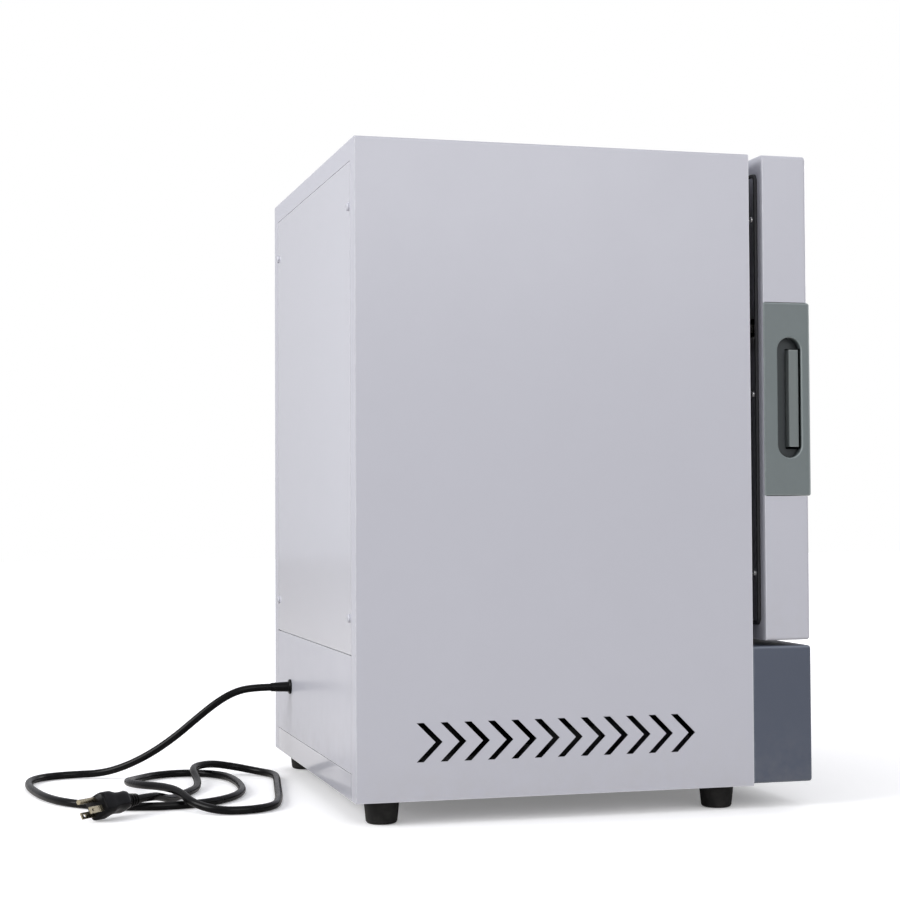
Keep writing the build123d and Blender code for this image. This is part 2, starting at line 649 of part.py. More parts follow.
# Damper: a disc that swings aside on its pin, with an ear and a finger tab
with BuildPart() as vent_damper:
    with BuildSketch(level(TOP + VENT_TUBE_H + FIT)):
        with Locations(vent_centre):
            Circle(VENT_TUBE_R + 1)
        patch(0, DAMPER_REACH, FRONT + VENT_Y - 5, FRONT + VENT_Y + 5)
        with Locations((DAMPER_REACH, FRONT + VENT_Y)):
            Circle(5)
        patch(-VENT_TUBE_R - 8, 0, FRONT + VENT_Y - 6, FRONT + VENT_Y + 6, corner=4)
        with Locations((DAMPER_REACH, FRONT + VENT_Y)):
            Circle(DAMPER_PIN_R + RUNNING, mode=Mode.SUBTRACT)
    extrude(amount=DAMPER_T)
save(vent_damper, "vent_damper")

damper_screw = pan_head_screw(DAMPER_PIN_R, 4.4, 2.0, VENT_TUBE_H - VENT_FLANGE_T + DAMPER_T + 0.2)
with BuildPart() as damper_pin:
    with Locations((DAMPER_REACH, FRONT + VENT_Y, TOP + VENT_TUBE_H + 2 * FIT + DAMPER_T)):
        add(damper_screw)
save(damper_pin, "damper_pin")

# Temperature probe through the chamber's rear wall
with BuildPart() as temperature_probe:
    with BuildSketch(facing_front(WOOL_Y1)):
        with Locations(PROBE_SPOT):
            Circle(2.5)
    extrude(amount=WOOL_Y1 - LINER_REAR + 60)
    with BuildSketch(facing_front(LINER_REAR + 4)):
        with Locations(PROBE_SPOT):
            Circle(7.5)
    extrude(amount=4)
save(temperature_probe, "temperature_probe")

# Control panel: a hollow moulding across the cabinet's foot
with BuildPart() as control_panel:
    with BuildSketch(level(BOTTOM + PANEL_Z)):
        patch(-SIDE, SIDE, PANEL_FRONT, FRONT)
    extrude(amount=PANEL_H)
    rear_face = control_panel.faces().filter_by(Axis.Y).sort_by(Axis.Y)[-1]
    soft = control_panel.edges() - rear_face.edges()
    fillet(soft, radius=PANEL_EDGE)
    with BuildSketch(facing_front(FRONT)):
        patch(-SIDE + PANEL_WALL, SIDE - PANEL_WALL,
              BOTTOM + PANEL_Z + PANEL_WALL, BOTTOM + PANEL_Z + PANEL_H - PANEL_WALL)
    extrude(amount=PANEL_D - PANEL_WALL, mode=Mode.SUBTRACT)
    with BuildSketch(facing_front(PANEL_FRONT + PANEL_WALL)):
        z = BOTTOM + CONTROLS_Z
        with Locations((DISPLAY_X, z)):
            RectangleRounded(DISPLAY_W, DISPLAY_H, 3)
        with Locations(*[(x, z) for x in BUTTON_X]):
            RectangleRounded(BUTTON_W + 2 * BUTTON_GAP, BUTTON_H + 2 * BUTTON_GAP, BUTTON_R + BUTTON_GAP)
        with Locations((SWITCH_X, z)):
            Rectangle(SWITCH_W + 2 * BUTTON_GAP, SWITCH_H + 2 * BUTTON_GAP)
    extrude(amount=PANEL_WALL, mode=Mode.SUBTRACT)
save(control_panel, "control_panel")

with BuildPart() as display_window:
    with BuildSketch(facing_front(PANEL_FRONT + PANEL_WALL)):
        with Locations((DISPLAY_X, BOTTOM + CONTROLS_Z)):
            RectangleRounded(DISPLAY_W - 0.4, DISPLAY_H - 0.4, 2.8)
    extrude(amount=PANEL_WALL)
save(display_window, "display_window")

with BuildPart() as controller_module:
    with BuildSketch(facing_front(PANEL_FRONT + PANEL_WALL + 28)):
        with Locations((DISPLAY_X, BOTTOM + CONTROLS_Z)):
            RectangleRounded(DISPLAY_W + 10, DISPLAY_H + 10, 2)
    extrude(amount=28)
    with BuildSketch(facing_front(PANEL_FRONT + PANEL_WALL + 36)):
        with Locations((DISPLAY_X - 20, BOTTOM + CONTROLS_Z), (DISPLAY_X + 20, BOTTOM + CONTROLS_Z)):
            Rectangle(28, 14)
    extrude(amount=8)
save(controller_module, "controller_module")

# Push buttons, each retained by a collar behind the panel
for number, x in enumerate(BUTTON_X, start=1):
    with BuildPart() as button:
        with BuildSketch(facing_front(PANEL_FRONT + PANEL_WALL + 3)):
            with Locations((x, BOTTOM + CONTROLS_Z)):
                RectangleRounded(BUTTON_W, BUTTON_H, BUTTON_R)
        extrude(amount=PANEL_WALL + 3 + BUTTON_PROUD)
        fillet(button.faces().sort_by(Axis.Y)[0].edges(), radius=0.8)
        with BuildSketch(facing_front(PANEL_FRONT + PANEL_WALL + BUTTON_GAP + 1.5)):
            with Locations((x, BOTTOM + CONTROLS_Z)):
                RectangleRounded(BUTTON_W + 3, BUTTON_H + 3, BUTTON_R + 1)
        extrude(amount=1.5)
    save(button, f"button_{number}")

# Key board behind the buttons: a dome for each, and a post in each corner
with BuildPart() as keypad_board:
    board_y = PANEL_FRONT + PANEL_WALL + 3 + BUTTON_TRAVEL + BUTTON_GAP + 1.5
    middle = (BUTTON_X[0] + BUTTON_X[-1]) / 2
    half_w = (BUTTON_X[-1] - BUTTON_X[0]) / 2 + 18
    z = BOTTOM + CONTROLS_Z
    with BuildSketch(facing_front(board_y + 1.6)):
        patch(middle - half_w, middle + half_w, z - 17, z + 17)
    extrude(amount=1.6)
    with BuildSketch(facing_front(board_y)):
        with Locations(*[(x, z) for x in BUTTON_X]):
            Circle(4)
    extrude(amount=1.5)
    with BuildSketch(facing_front(board_y)):
        corners = [(middle + a * (half_w - 4), z + b * 13) for a in (-1, 1) for b in (-1, 1)]
        with Locations(*corners):
            Circle(3)
    extrude(amount=board_y - PANEL_FRONT - PANEL_WALL)
save(keypad_board, "keypad_board")

# Mains switch: a housing with a rim, and a rocker that tilts in it
with BuildPart() as switch_housing:
    z = BOTTOM + CONTROLS_Z
    with BuildSketch(facing_front(PANEL_FRONT)):
        with Locations((SWITCH_X, z)):
            RectangleRounded(SWITCH_W + 6, SWITCH_H + 6, 2)
    extrude(amount=1.6)
    fillet(switch_housing.faces().sort_by(Axis.Y)[0].edges(), radius=0.8)
    with BuildSketch(facing_front(PANEL_FRONT + 24)):
        with Locations((SWITCH_X, z)):
            Rectangle(SWITCH_W, SWITCH_H)
    extrude(amount=24)
    with BuildSketch(facing_front(PANEL_FRONT + 16)):
        with Locations((SWITCH_X, z)):
            Rectangle(SWITCH_W - 4, SWITCH_H - 4)
    extrude(amount=16 + 1.6, mode=Mode.SUBTRACT)
    with BuildSketch(facing_front(PANEL_FRONT + 32)):
        with Locations((SWITCH_X, z - 8), (SWITCH_X, z + 8)):
            Rectangle(6.3, 0.8)
    extrude(amount=8)
save(switch_housing, "switch_housing")

with BuildPart() as switch_rocker:
    rocker_r = SWITCH_H / 2 - 2.4
    pivot = (PANEL_FRONT + SWITCH_PIVOT, BOTTOM + CONTROLS_Z)
    with BuildSketch(facing_right(SWITCH_X - SWITCH_W / 2 + 2.4)):
        with Locations(Location((pivot[0], pivot[1], 0), (0, 0, SWITCH_TILT))):
            Polygon((-4.6, 0), (-6.4, 9), (-7.4, rocker_r), (1, rocker_r), (4, 8), (4, -8), (1, -rocker_r),
                    (-7.4, -rocker_r), (-6.4, -9), align=None)
        with Locations(pivot):
            Circle(rocker_r, mode=Mode.INTERSECT)
    extrude(amount=SWITCH_W - 4.8)
save(switch_rocker, "switch_rocker")

# Electrics on the base pan
with BuildPart() as heat_sink:
    sink_z = BOTTOM + FRAME_T
    with BuildSketch(facing_front(FAN_Y + 50)):
        patch(SINK_X - 38, SINK_X + 38, sink_z + 26, sink_z + 32)
        for n in range(9):
            x = SINK_X - 37 + n * 9.2
            patch(x, x + 2, sink_z, sink_z + 28)
    extrude(amount=100)
save(heat_sink, "heat_sink")

with BuildPart() as relay:
    with BuildSketch(level(BOTTOM + FRAME_T + 32)):
        with Locations((SINK_X, FAN_Y)):
            RectangleRounded(45, 58, 3)
    extrude(amount=23)
    with BuildSketch(level(BOTTOM + FRAME_T + 55)):
        with Locations((SINK_X, FAN_Y)):
            with GridLocations(26, 46, 2, 2):
                Circle(4)
    extrude(amount=3)
save(relay, "relay")

with BuildPart() as terminal_block:
    with BuildSketch(level(BOTTOM + FRAME_T)):
        with Locations((CORD_X, REAR - 70)):
            Rectangle(84, 24)
    extrude(amount=12)
    with BuildSketch(level(BOTTOM + FRAME_T)):
        with Locations((CORD_X, REAR - 70)):
            with GridLocations(16, 1, 6, 1):
                Rectangle(2, 24)
    extrude(amount=20)
save(terminal_block, "terminal_block")

# Rubber feet, each screwed up into the base pan from inside its recess
foot_spots = [(x, y) for x in (-SIDE + FOOT_INSET_X, SIDE - FOOT_INSET_X)
              for y in (FRONT + FOOT_INSET_Y, REAR - FOOT_INSET_Y)]
recess_h = FOOT_H - 7
with BuildPart() as one_foot:
    with BuildSketch(Plane.XZ):
        with BuildLine():
            Polyline((6.5, 0), (FOOT_BOTTOM_R - 3, 0))
            RadiusArc((FOOT_BOTTOM_R - 3, 0), (FOOT_BOTTOM_R, 3), -3)
            Polyline((FOOT_BOTTOM_R, 3), (FOOT_TOP_R, FOOT_H), (FOOT_SCREW_R + 0.1, FOOT_H),
                     (FOOT_SCREW_R + 0.1, recess_h), (6.5, recess_h), (6.5, 0))
        make_face()
    revolve(axis=Axis.Z)
with BuildPart() as rubber_feet:
    with Locations(*foot_spots):
        add(one_foot.part)
save(rubber_feet, "rubber_feet")

foot_screw = pan_head_screw(FOOT_SCREW_R, FOOT_SCREW_HEAD_R, 3.0, FOOT_H - recess_h + 6)
with BuildPart() as foot_screws:
    with Locations(*[Location((x, y, recess_h), (180, 0, 0)) for x, y in foot_spots]):
        add(foot_screw)
save(foot_screws, "foot_screws")

# Hinges: two leaves each, three knuckles and a headed pin
knuckle = LEAF_H / 3
with BuildPart() as hinge_cabinet_leaves:
    for hinge_z in HINGE_LEVELS:
        z = BOTTOM + hinge_z
        with BuildSketch(level(z - LEAF_H / 2)):
            patch(BARREL_X - LEAF_W - 3.5, BARREL_X - 3.5, FRONT - LEAF_T, FRONT)
        extrude(amount=LEAF_H)
        for start in (-LEAF_H / 2, LEAF_H / 6 + 0.2):
            with BuildSketch(level(z + start)):
                patch(BARREL_X - BARREL_R, BARREL_X, BARREL_Y, FRONT)
                with Locations((BARREL_X, BARREL_Y)):
                    Circle(BARREL_R)
                    Circle(HINGE_PIN_R + RUNNING, mode=Mode.SUBTRACT)
            extrude(amount=knuckle - 0.2)
save(hinge_cabinet_leaves, "hinge_cabinet_leaves")

with BuildPart() as hinge_door_leaves:
    for hinge_z in HINGE_LEVELS:
        z = BOTTOM + hinge_z
        with BuildSketch(level(z - LEAF_H / 2)):
            patch(BARREL_X - LEAF_W - 3.5, BARREL_X - 3.5, DOOR_REAR, DOOR_REAR + LEAF_T)
        extrude(amount=LEAF_H)
        with BuildSketch(level(z - LEAF_H / 6)):
            patch(BARREL_X - BARREL_R, BARREL_X, DOOR_REAR, BARREL_Y)
            with Locations((BARREL_X, BARREL_Y)):
                Circle(BARREL_R)
                Circle(HINGE_PIN_R + RUNNING, mode=Mode.SUBTRACT)
        extrude(amount=knuckle)
save(hinge_door_leaves, "hinge_door_leaves")

hinge_pin = pan_head_screw(HINGE_PIN_R, 3.6, 1.6, LEAF_H + 1)
with BuildPart() as hinge_pins:
    with Locations(*[(BARREL_X, BARREL_Y, BOTTOM + z + LEAF_H / 2 + 0.1) for z in HINGE_LEVELS]):
        add(hinge_pin)
save(hinge_pins, "hinge_pins")

# Striker: a folded plate on the cabinet with a lip for the latch's nose
nose_tip = LATCH_X + HOOK_T / 2 + NOSE
with BuildPart() as striker:
    lip_x = nose_tip + CATCH_GAP
    with BuildSketch(level(BOTTOM + HOOK_Z - 9)):
        patch(lip_x - 1.5, lip_x + 9, FRONT - FRAME_T, FRONT)
        patch(lip_x + 7, lip_x + 9, FRONT + CATCH_LIP_Y[0], FRONT)
        patch(lip_x, lip_x + 9, FRONT + CATCH_LIP_Y[0], FRONT + CATCH_LIP_Y[1])
    extrude(amount=18)
    with BuildSketch(facing_front(FRONT)):
        patch(lip_x - 1.5, lip_x + 9, BOTTOM + HOOK_Z - 20, BOTTOM + HOOK_Z + 20, corner=2)
    extrude(amount=FRAME_T)
save(striker, "striker")

# Door shell: a painted pan with a flange round its back, a window hole and a notch for the handle
door_z0 = BOTTOM + DOOR_Z
seal_x0 = -SIDE + DOOR_FLANGE_LEFT
seal_x1 = SIDE - DOOR_FLANGE_RIGHT
seal_z0 = door_z0 + DOOR_FLANGE_BOTTOM
seal_z1 = TOP - DOOR_FLANGE_TOP
handle_x1 = -SIDE - SIDE_PROUD + HANDLE_W
with BuildPart() as door_shell:
    with BuildSketch(level(door_z0)):
        patch(-SIDE, SIDE, DOOR_FRONT, DOOR_REAR)
    extrude(amount=TOP - door_z0)
    rear_face = door_shell.faces().filter_by(Axis.Y).sort_by(Axis.Y)[-1]
    fillet(door_shell.edges() - rear_face.edges(), radius=DOOR_EDGE)
    rear_face = door_shell.faces().filter_by(Axis.Y).sort_by(Axis.Y)[-1]
    offset(amount=-SHEET, openings=[rear_face])
    with BuildSketch(facing_front(DOOR_REAR)):
        patch(-SIDE + SHEET / 2, SIDE - SHEET / 2, door_z0 + SHEET / 2, TOP - SHEET / 2)
        patch(seal_x0, seal_x1, seal_z0, seal_z1, corner=8, mode=Mode.SUBTRACT)
    extrude(amount=SHEET)
    with BuildSketch(facing_front(DOOR_REAR)):
        sleeve_w = WINDOW_W + 2 * SLEEVE + 2
        sleeve_h = WINDOW_H + 2 * SLEEVE + 2
        with Locations((0, BOTTOM + WINDOW_Z)):
            Rectangle(sleeve_w + 2 * FIT, sleeve_h + 2 * FIT)
    extrude(amount=DOOR_T, mode=Mode.SUBTRACT)
    with BuildSketch(facing_front(DOOR_REAR - SHEET)):
        patch(-SIDE, handle_x1 + FIT, BOTTOM + HANDLE_Z0 - FIT, BOTTOM + HANDLE_Z1 + FIT)
    extrude(amount=DOOR_T, mode=Mode.SUBTRACT)
save(door_shell, "door_shell")

# Door seal: a bead between the flange and the inner panel
with BuildPart() as door_seal:
    with BuildSketch(facing_front(DOOR_REAR + PANEL_STAND + SEAL_PROUD)):
        patch(seal_x0 + 0.1, seal_x1 - 0.1, seal_z0 + 0.1, seal_z1 - 0.1, corner=8)
        patch(seal_x0 + SEAL_W, seal_x1 - SEAL_W, seal_z0 + SEAL_W, seal_z1 - SEAL_W, corner=4,
              mode=Mode.SUBTRACT)
    extrude(amount=PANEL_STAND + SEAL_PROUD + SHEET)
    fillet(door_seal.faces().filter_by(Axis.Y).sort_by(Axis.Y)[-1].edges(), radius=1.4)
save(door_seal, "door_seal")

# Inner panel: a shallow stainless tray on the door's back, with the latch's slot
panel_x0, panel_x1 = seal_x0 + SEAL_W + 0.1, seal_x1 - SEAL_W - 0.1
panel_z0, panel_z1 = seal_z0 + SEAL_W + 0.1, seal_z1 - SEAL_W - 0.1
panel_screws = [(x, z) for x in (panel_x0 + 4.8, panel_x1 - 3.8)
                for z in (panel_z0 + 47.0, (panel_z0 + panel_z1) / 2 + 4.3, panel_z1 - 41.9)]
with BuildPart() as door_inner_panel:
    with BuildSketch(facing_front(DOOR_REAR + PANEL_STAND)):
        patch(panel_x0, panel_x1, panel_z0, panel_z1, corner=4)
    extrude(amount=PANEL_STAND + SHEET)
    back_face = door_inner_panel.faces().filter_by(Axis.Y).sort_by(Axis.Y)[0]
    offset(amount=-LINER, openings=[back_face])
    with BuildSketch(facing_front(DOOR_REAR + PANEL_STAND)):
        with Locations((0, BOTTOM + WINDOW_Z)):
            RectangleRounded(WINDOW_W - 10, WINDOW_H - 10, 4)
        patch(panel_x0, nose_tip + 1.2, BOTTOM + HOOK_Z - HOOK_H / 2 - 5, BOTTOM + HOOK_Z + HOOK_H / 2 + 5)
        with Locations(*panel_screws):
            Circle(1.8)
    extrude(amount=PANEL_STAND + SHEET, mode=Mode.SUBTRACT)
save(door_inner_panel, "door_inner_panel")

panel_screw = pan_head_screw(1.6, 3.2, 1.8, 9.0)
with BuildPart() as door_panel_screws:
    for x, z in panel_screws:
        with Locations(Location((x, DOOR_REAR + PANEL_STAND, z), (-90, 0, 0))):
            add(panel_screw)
save(door_panel_screws, "door_panel_screws")

# Door insulation, round the window's sleeve and the handle
with BuildPart() as door_insulation:
    with BuildSketch(facing_front(DOOR_REAR - SHEET - 9)):
        patch(-SIDE + 4, SIDE - 4, door_z0 + 4, TOP - 4)
        with Locations((0, BOTTOM + WINDOW_Z)):
            Rectangle(sleeve_w + 1, sleeve_h + 1, mode=Mode.SUBTRACT)
        patch(-SIDE, handle_x1 + 2, BOTTOM + HANDLE_Z0 - 2, BOTTOM + HANDLE_Z1 + 2, mode=Mode.SUBTRACT)
    extrude(amount=DOOR_T - 2 * SHEET - 9 - 2)
save(door_insulation, "door_insulation")

# Window: a sleeve with a bezel in front, and a pane at each end
with BuildPart() as window_frame:
    with BuildSketch(facing_front(DOOR_REAR + PANEL_STAND - LINER)):
        with Locations((0, BOTTOM + WINDOW_Z)):
            Rectangle(sleeve_w, sleeve_h)
            Rectangle(sleeve_w - 2 * SLEEVE, sleeve_h - 2 * SLEEVE, mode=Mode.SUBTRACT)
    extrude(amount=DOOR_T + PANEL_STAND - LINER)
    with BuildSketch(facing_front(DOOR_FRONT)):
        with Locations((0, BOTTOM + WINDOW_Z)):
            RectangleRounded(WINDOW_W + 2 * BEZEL_W, WINDOW_H + 2 * BEZEL_W, 10)
            RectangleRounded(WINDOW_W - 6, WINDOW_H - 6, 6, mode=Mode.SUBTRACT)
    extrude(amount=BEZEL_PROUD)
save(window_frame, "window_frame")

pane_w, pane_h = sleeve_w - 2 * SLEEVE - 2 * FIT, sleeve_h - 2 * SLEEVE - 2 * FIT
with BuildPart() as window_panes:
    for y in (DOOR_FRONT + GLASS_T, DOOR_REAR + PANEL_STAND - LINER):
        with BuildSketch(facing_front(y)):
            with Locations((0, BOTTOM + WINDOW_Z)):
                Rectangle(pane_w, pane_h)
        extrude(amount=GLASS_T)
save(window_panes, "window_panes")

# Handle block: a moulding round the door's left edge, with a finger recess in its side
block_x0 = -SIDE - SIDE_PROUD
block_y0 = DOOR_FRONT - HANDLE_PROUD
block_y1 = DOOR_REAR - SHEET - FIT
with BuildPart() as handle_block:
    z0, z1 = BOTTOM + HANDLE_Z0, BOTTOM + HANDLE_Z1
    with BuildSketch(level(z0)):
        patch(block_x0, handle_x1, block_y0, block_y1)
        patch(block_x0, -SIDE - 0.1, block_y0, DOOR_REAR + 0.5)
    extrude(amount=z1 - z0)
    corners = handle_block.edges().filter_by(Axis.Z).group_by(Axis.Y)[0]
    fillet(corners, radius=HANDLE_EDGE)
    ends = [handle_block.faces().sort_by(Axis.Z)[n] for n in (0, -1)]
    fillet([edge for end in ends for edge in end.edges() if edge.center().Y < block_y1 - 1],
           radius=HANDLE_END)
    with BuildSketch(level(z0 + HANDLE_WALL)):
        patch(block_x0 + HANDLE_WALL, handle_x1 - HANDLE_WALL, block_y0 + HANDLE_WALL, block_y1)
    extrude(amount=z1 - z0 - 2 * HANDLE_WALL, mode=Mode.SUBTRACT)
    with BuildSketch(facing_right(block_x0 + HANDLE_WALL)):
        with Locations((FRONT + GRIP_Y, BOTTOM + GRIP_Z)):
            SlotOverall(GRIP_H + 2 * GRIP_WALL, GRIP_W + 2 * GRIP_WALL, rotation=90)
    extrude(amount=GRIP_D + GRIP_WALL - HANDLE_WALL)
    with BuildSketch(facing_right(block_x0)):
        with Locations((FRONT + GRIP_Y, BOTTOM + GRIP_Z)):
            SlotOverall(GRIP_H, GRIP_W, rotation=90)
    extrude(amount=GRIP_D, mode=Mode.SUBTRACT)
    mouth_edges = handle_block.faces().sort_by(Axis.X)[0].inner_wires()[0].edges()
    fillet(mouth_edges, radius=1.4)
    with BuildSketch(facing_right(block_x0 + HANDLE_WALL)):
        patch(FRONT + GRIP_WINDOW_Y[0], FRONT + GRIP_WINDOW_Y[1],
              BOTTOM + GRIP_WINDOW_Z[0], BOTTOM + GRIP_WINDOW_Z[1])
    extrude(amount=GRIP_D + GRIP_WALL - HANDLE_WALL + 0.1, mode=Mode.SUBTRACT)
    for rib_z in LATCH_RIBS:
        with BuildSketch(level(BOTTOM + rib_z)):
            patch(LATCH_X - 9, handle_x1 - HANDLE_WALL, block_y0 + HANDLE_WALL, FRONT + LATCH_Y + 9)
            with Locations((LATCH_X, FRONT + LATCH_Y)):
                Circle(LATCH_SHAFT_R + RUNNING, mode=Mode.SUBTRACT)
        extrude(amount=RIB_T)
save(handle_block, "handle_block")

# Latch: a paddle and a hook on one upright shaft
with BuildPart() as latch_paddle:
    paddle_x = block_x0 + PADDLE_DEPTH
    with BuildSketch(level(BOTTOM + PADDLE_Z[0])):
        patch(paddle_x, paddle_x + PADDLE_T, FRONT + PADDLE_Y[0], FRONT + PADDLE_Y[1], corner=1.2)
        patch(paddle_x + PADDLE_T - 2, LATCH_X, FRONT + LATCH_Y - 2.5, FRONT + LATCH_Y + 2.5)
        with Locations((LATCH_X, FRONT + LATCH_Y)):
            Circle(LATCH_SHAFT_R + 2.5)
            Circle(LATCH_SHAFT_R + RUNNING, mode=Mode.SUBTRACT)
    extrude(amount=PADDLE_Z[1] - PADDLE_Z[0])
save(latch_paddle, "latch_paddle")

with BuildPart() as latch_shaft:
    low = BOTTOM + LATCH_RIBS[0]
    high = BOTTOM + LATCH_RIBS[1] + RIB_T
    with BuildSketch(level(low - 2)):
        with Locations((LATCH_X, FRONT + LATCH_Y)):
            Circle(LATCH_SHAFT_R)
    extrude(amount=high - low + 4)
    with BuildSketch(level(low - 2)):
        with Locations((LATCH_X, FRONT + LATCH_Y)):
            Circle(LATCH_SHAFT_R + 2)
    extrude(amount=1.8)
    with BuildSketch(level(high + 0.2)):
        with Locations((LATCH_X, FRONT + LATCH_Y)):
            Circle(LATCH_SHAFT_R + 2)
    extrude(amount=1.8)
save(latch_shaft, "latch_shaft")

with BuildPart() as latch_hook:
    with BuildSketch(level(BOTTOM + HOOK_Z - HOOK_H / 2)):
        patch(LATCH_X - HOOK_T / 2, LATCH_X + HOOK_T / 2, FRONT + LATCH_Y, FRONT + NOSE_Y)
        patch(LATCH_X - HOOK_T / 2, nose_tip, FRONT + NOSE_Y - NOSE_T, FRONT + NOSE_Y)
        with Locations((LATCH_X, FRONT + LATCH_Y)):
            Circle(LATCH_SHAFT_R + 3.5)
            Circle(LATCH_SHAFT_R + RUNNING, mode=Mode.SUBTRACT)
    extrude(amount=HOOK_H)
save(latch_hook, "latch_hook")

# Latch spring, closed coils round the shaft above the paddle
with BuildPart() as latch_spring:
    spring_z0 = BOTTOM + PADDLE_Z[1] + 1
    spring_z1 = BOTTOM + HOOK_Z - HOOK_H / 2 - 1
    with BuildSketch(level(spring_z0)):
        with Locations((LATCH_X, FRONT + LATCH_Y)):
            Circle(LATCH_SHAFT_R + 1.8)
            Circle(LATCH_SHAFT_R + 0.4, mode=Mode.SUBTRACT)
    extrude(amount=spring_z1 - spring_z0)
save(latch_spring, "latch_spring")

# Lead bushing: a flange on the rear panel, a neck through it and a tapered sleeve
cord_z = BOTTOM + CORD_Z
with BuildPart() as cord_bushing:
    with BuildSketch(Plane.YZ.offset(CORD_X)):
        with BuildLine():
            outline = Polyline(
                (REAR + SLEEVE_LENGTH, cord_z), (REAR + SLEEVE_LENGTH, cord_z + CORD_R + 0.7),
                (REAR + BUSHING_FLANGE_T, cord_z + CORD_R + 1.6),
                (REAR + BUSHING_FLANGE_T, cord_z + BUSHING_FLANGE_R - 0.8),
                (REAR + BUSHING_FLANGE_T - 0.8, cord_z + BUSHING_FLANGE_R),
                (REAR, cord_z + BUSHING_FLANGE_R), (REAR, cord_z + CORD_R + 2),
                (REAR - SHEET - FIT, cord_z + CORD_R + 2), (REAR - SHEET - 1.5, cord_z + CORD_R + 3),
                (REAR - 10, cord_z + CORD_R + 1), (REAR - 10, cord_z), (REAR + SLEEVE_LENGTH, cord_z),
            )
        make_face()
    revolve(axis=Axis((0, 0, cord_z), (0, 1, 0)).located(Location((CORD_X, 0, 0))))
save(cord_bushing, "cord_bushing")

# Mains lead: out of the bushing, down to the floor, round a wide loop and two small ones,
# and over itself to the plug. Each point is x, the distance behind the cabinet's front, and
# the height above the floor.
CORD_POINTS = [
    (120, 419, 99.5), (120, 437, 99.5), (121, 456, 96.5), (124, 475, 86.5), (128, 497, 69),
    (135, 522, 47), (146, 548, 28), (161, 573, 14), (176, 597, 5.5), (186, 627, 4), (178, 656, 4),
    (153, 675, 4), (115, 678, 4), (74, 674, 4), (30, 665, 4), (-9, 649, 4), (-37, 622, 4),
    (-56, 590, 4), (-64, 552, 4), (-53, 511, 4), (-25, 482, 4), (14, 466, 4), (58, 462, 4),
    (97, 463, 4), (130, 468, 4), (155, 487, 4), (164, 515, 4), (154, 543, 4), (130, 561, 4.5),
    (94, 573, 8), (50, 582, 13), (8, 572.5, 15.5), (-22.5, 553.5, 17.5), (-53, 540, 17),
    (-86, 530.5, 9), (-107, 508, 4), (-110, 477, 4), (-92, 451, 4), (-54, 440.5, 4),
    (-6, 432.5, 4), (42, 425.5, 4), (88, 418, 4), (123.5, 414, 4), (149, 426.5, 4),
    (162.5, 451, 8.5), (158.5, 479, 14), (140, 499.5, 14), (112, 505.5, 13), (82, 504, 7.5),
    (54, 508, 4), (30, 517, 4), (5, 531, 4), (-20.5, 544, 4), (-45.5, 558, 11), (-62, 568, 14),
    (-75, 583, 14),
]
route = [Vector(x, FRONT + y, z) for x, y, z in CORD_POINTS]


def corner_radius(before, corner, after):
    """The largest arc that two runs allow: 0.45 of the shorter run over the half turn."""
    shorter = min((corner - before).length, (after - corner).length)
    turn = (corner - before).get_angle(after - corner)
    return 0.45 * shorter / tan(radians(turn / 2))


cord_radii = [corner_radius(*route[n - 1:n + 2]) for n in range(1, len(route) - 1)]
print("lead radii:", [round(radius) for radius in cord_radii])
with BuildPart() as power_cord:
    with BuildLine() as cord_path:
        FilletPolyline(*route, radius=cord_radii)
    with BuildSketch(Plane(cord_path.line @ 0, z_dir=cord_path.line % 0)):
        Circle(CORD_R)
    sweep()
cord_length = sum(piece.length for piece in cord_path.edges())
cord_section = 3.14159 * CORD_R ** 2
print(f"lead length {cord_length:.0f}, volume over section x length "
      f"{power_cord.part.volume / (cord_section * cord_length):.5f}")
save(power_cord, "power_cord")

# Plug: a ribbed relief, a moulded grip and a face with three pins, rolled as it lies
plug_axis = (route[-1] - route[-2]).normalized()
plug_side = Vector(0, 0, 1).cross(plug_axis).rotate(Axis((0, 0, 0), plug_axis), PLUG_ROLL)


def plug_plane(distance):
    """A plane across the plug, this far along its axis from the end of the lead."""
    return Plane(route[-1] + plug_axis * distance, x_dir=plug_side, z_dir=plug_axis)


face = PLUG_RELIEF + PLUG_BODY
with BuildPart() as plug_body:
    with BuildSketch(plug_plane(0)):
        Circle(CORD_R + 1)
    with BuildSketch(plug_plane(PLUG_RELIEF)):
        Circle(CORD_R + 3)
    loft()
    for n in range(3):
        with BuildSketch(plug_plane(3 + n * 4.5)):
            Circle(CORD_R + 2.4 + n * 0.4)
        extrude(amount=2)
    with BuildSketch(plug_plane(PLUG_RELIEF)):
        RectangleRounded(PLUG_W - 7, PLUG_H - 6, 5)
    with BuildSketch(plug_plane(PLUG_RELIEF + 12)):
        RectangleRounded(PLUG_W, PLUG_H, 6)
    loft()
    with BuildSketch(plug_plane(PLUG_RELIEF + 12)):
        RectangleRounded(PLUG_W, PLUG_H, 6)
    extrude(amount=PLUG_BODY - 12)
save(plug_body, "plug_body")

with BuildPart() as plug_pins:
    blade_row = -EARTH_OFFSET / 2 + 1.5
    with BuildSketch(plug_plane(face)):
        with Locations((-BLADE_PITCH / 2, blade_row), (BLADE_PITCH / 2, blade_row)):
            Rectangle(BLADE_T, BLADE_W)
    extrude(amount=BLADE_L)
    with BuildSketch(plug_plane(face)):
        with Locations((0, blade_row + EARTH_OFFSET)):
            Circle(EARTH_R)
    extrude(amount=EARTH_L)
    for x in (-BLADE_PITCH / 2, BLADE_PITCH / 2):
        spot = plug_plane(face + BLADE_L - 4).from_local_coords(Vector(x, blade_row, 0))
        with BuildSketch(Plane(spot - plug_side * BLADE_T, x_dir=plug_axis, z_dir=plug_side)):
            Circle(1.6)
        extrude(amount=2 * BLADE_T, mode=Mode.SUBTRACT)
save(plug_pins, "plug_pins")
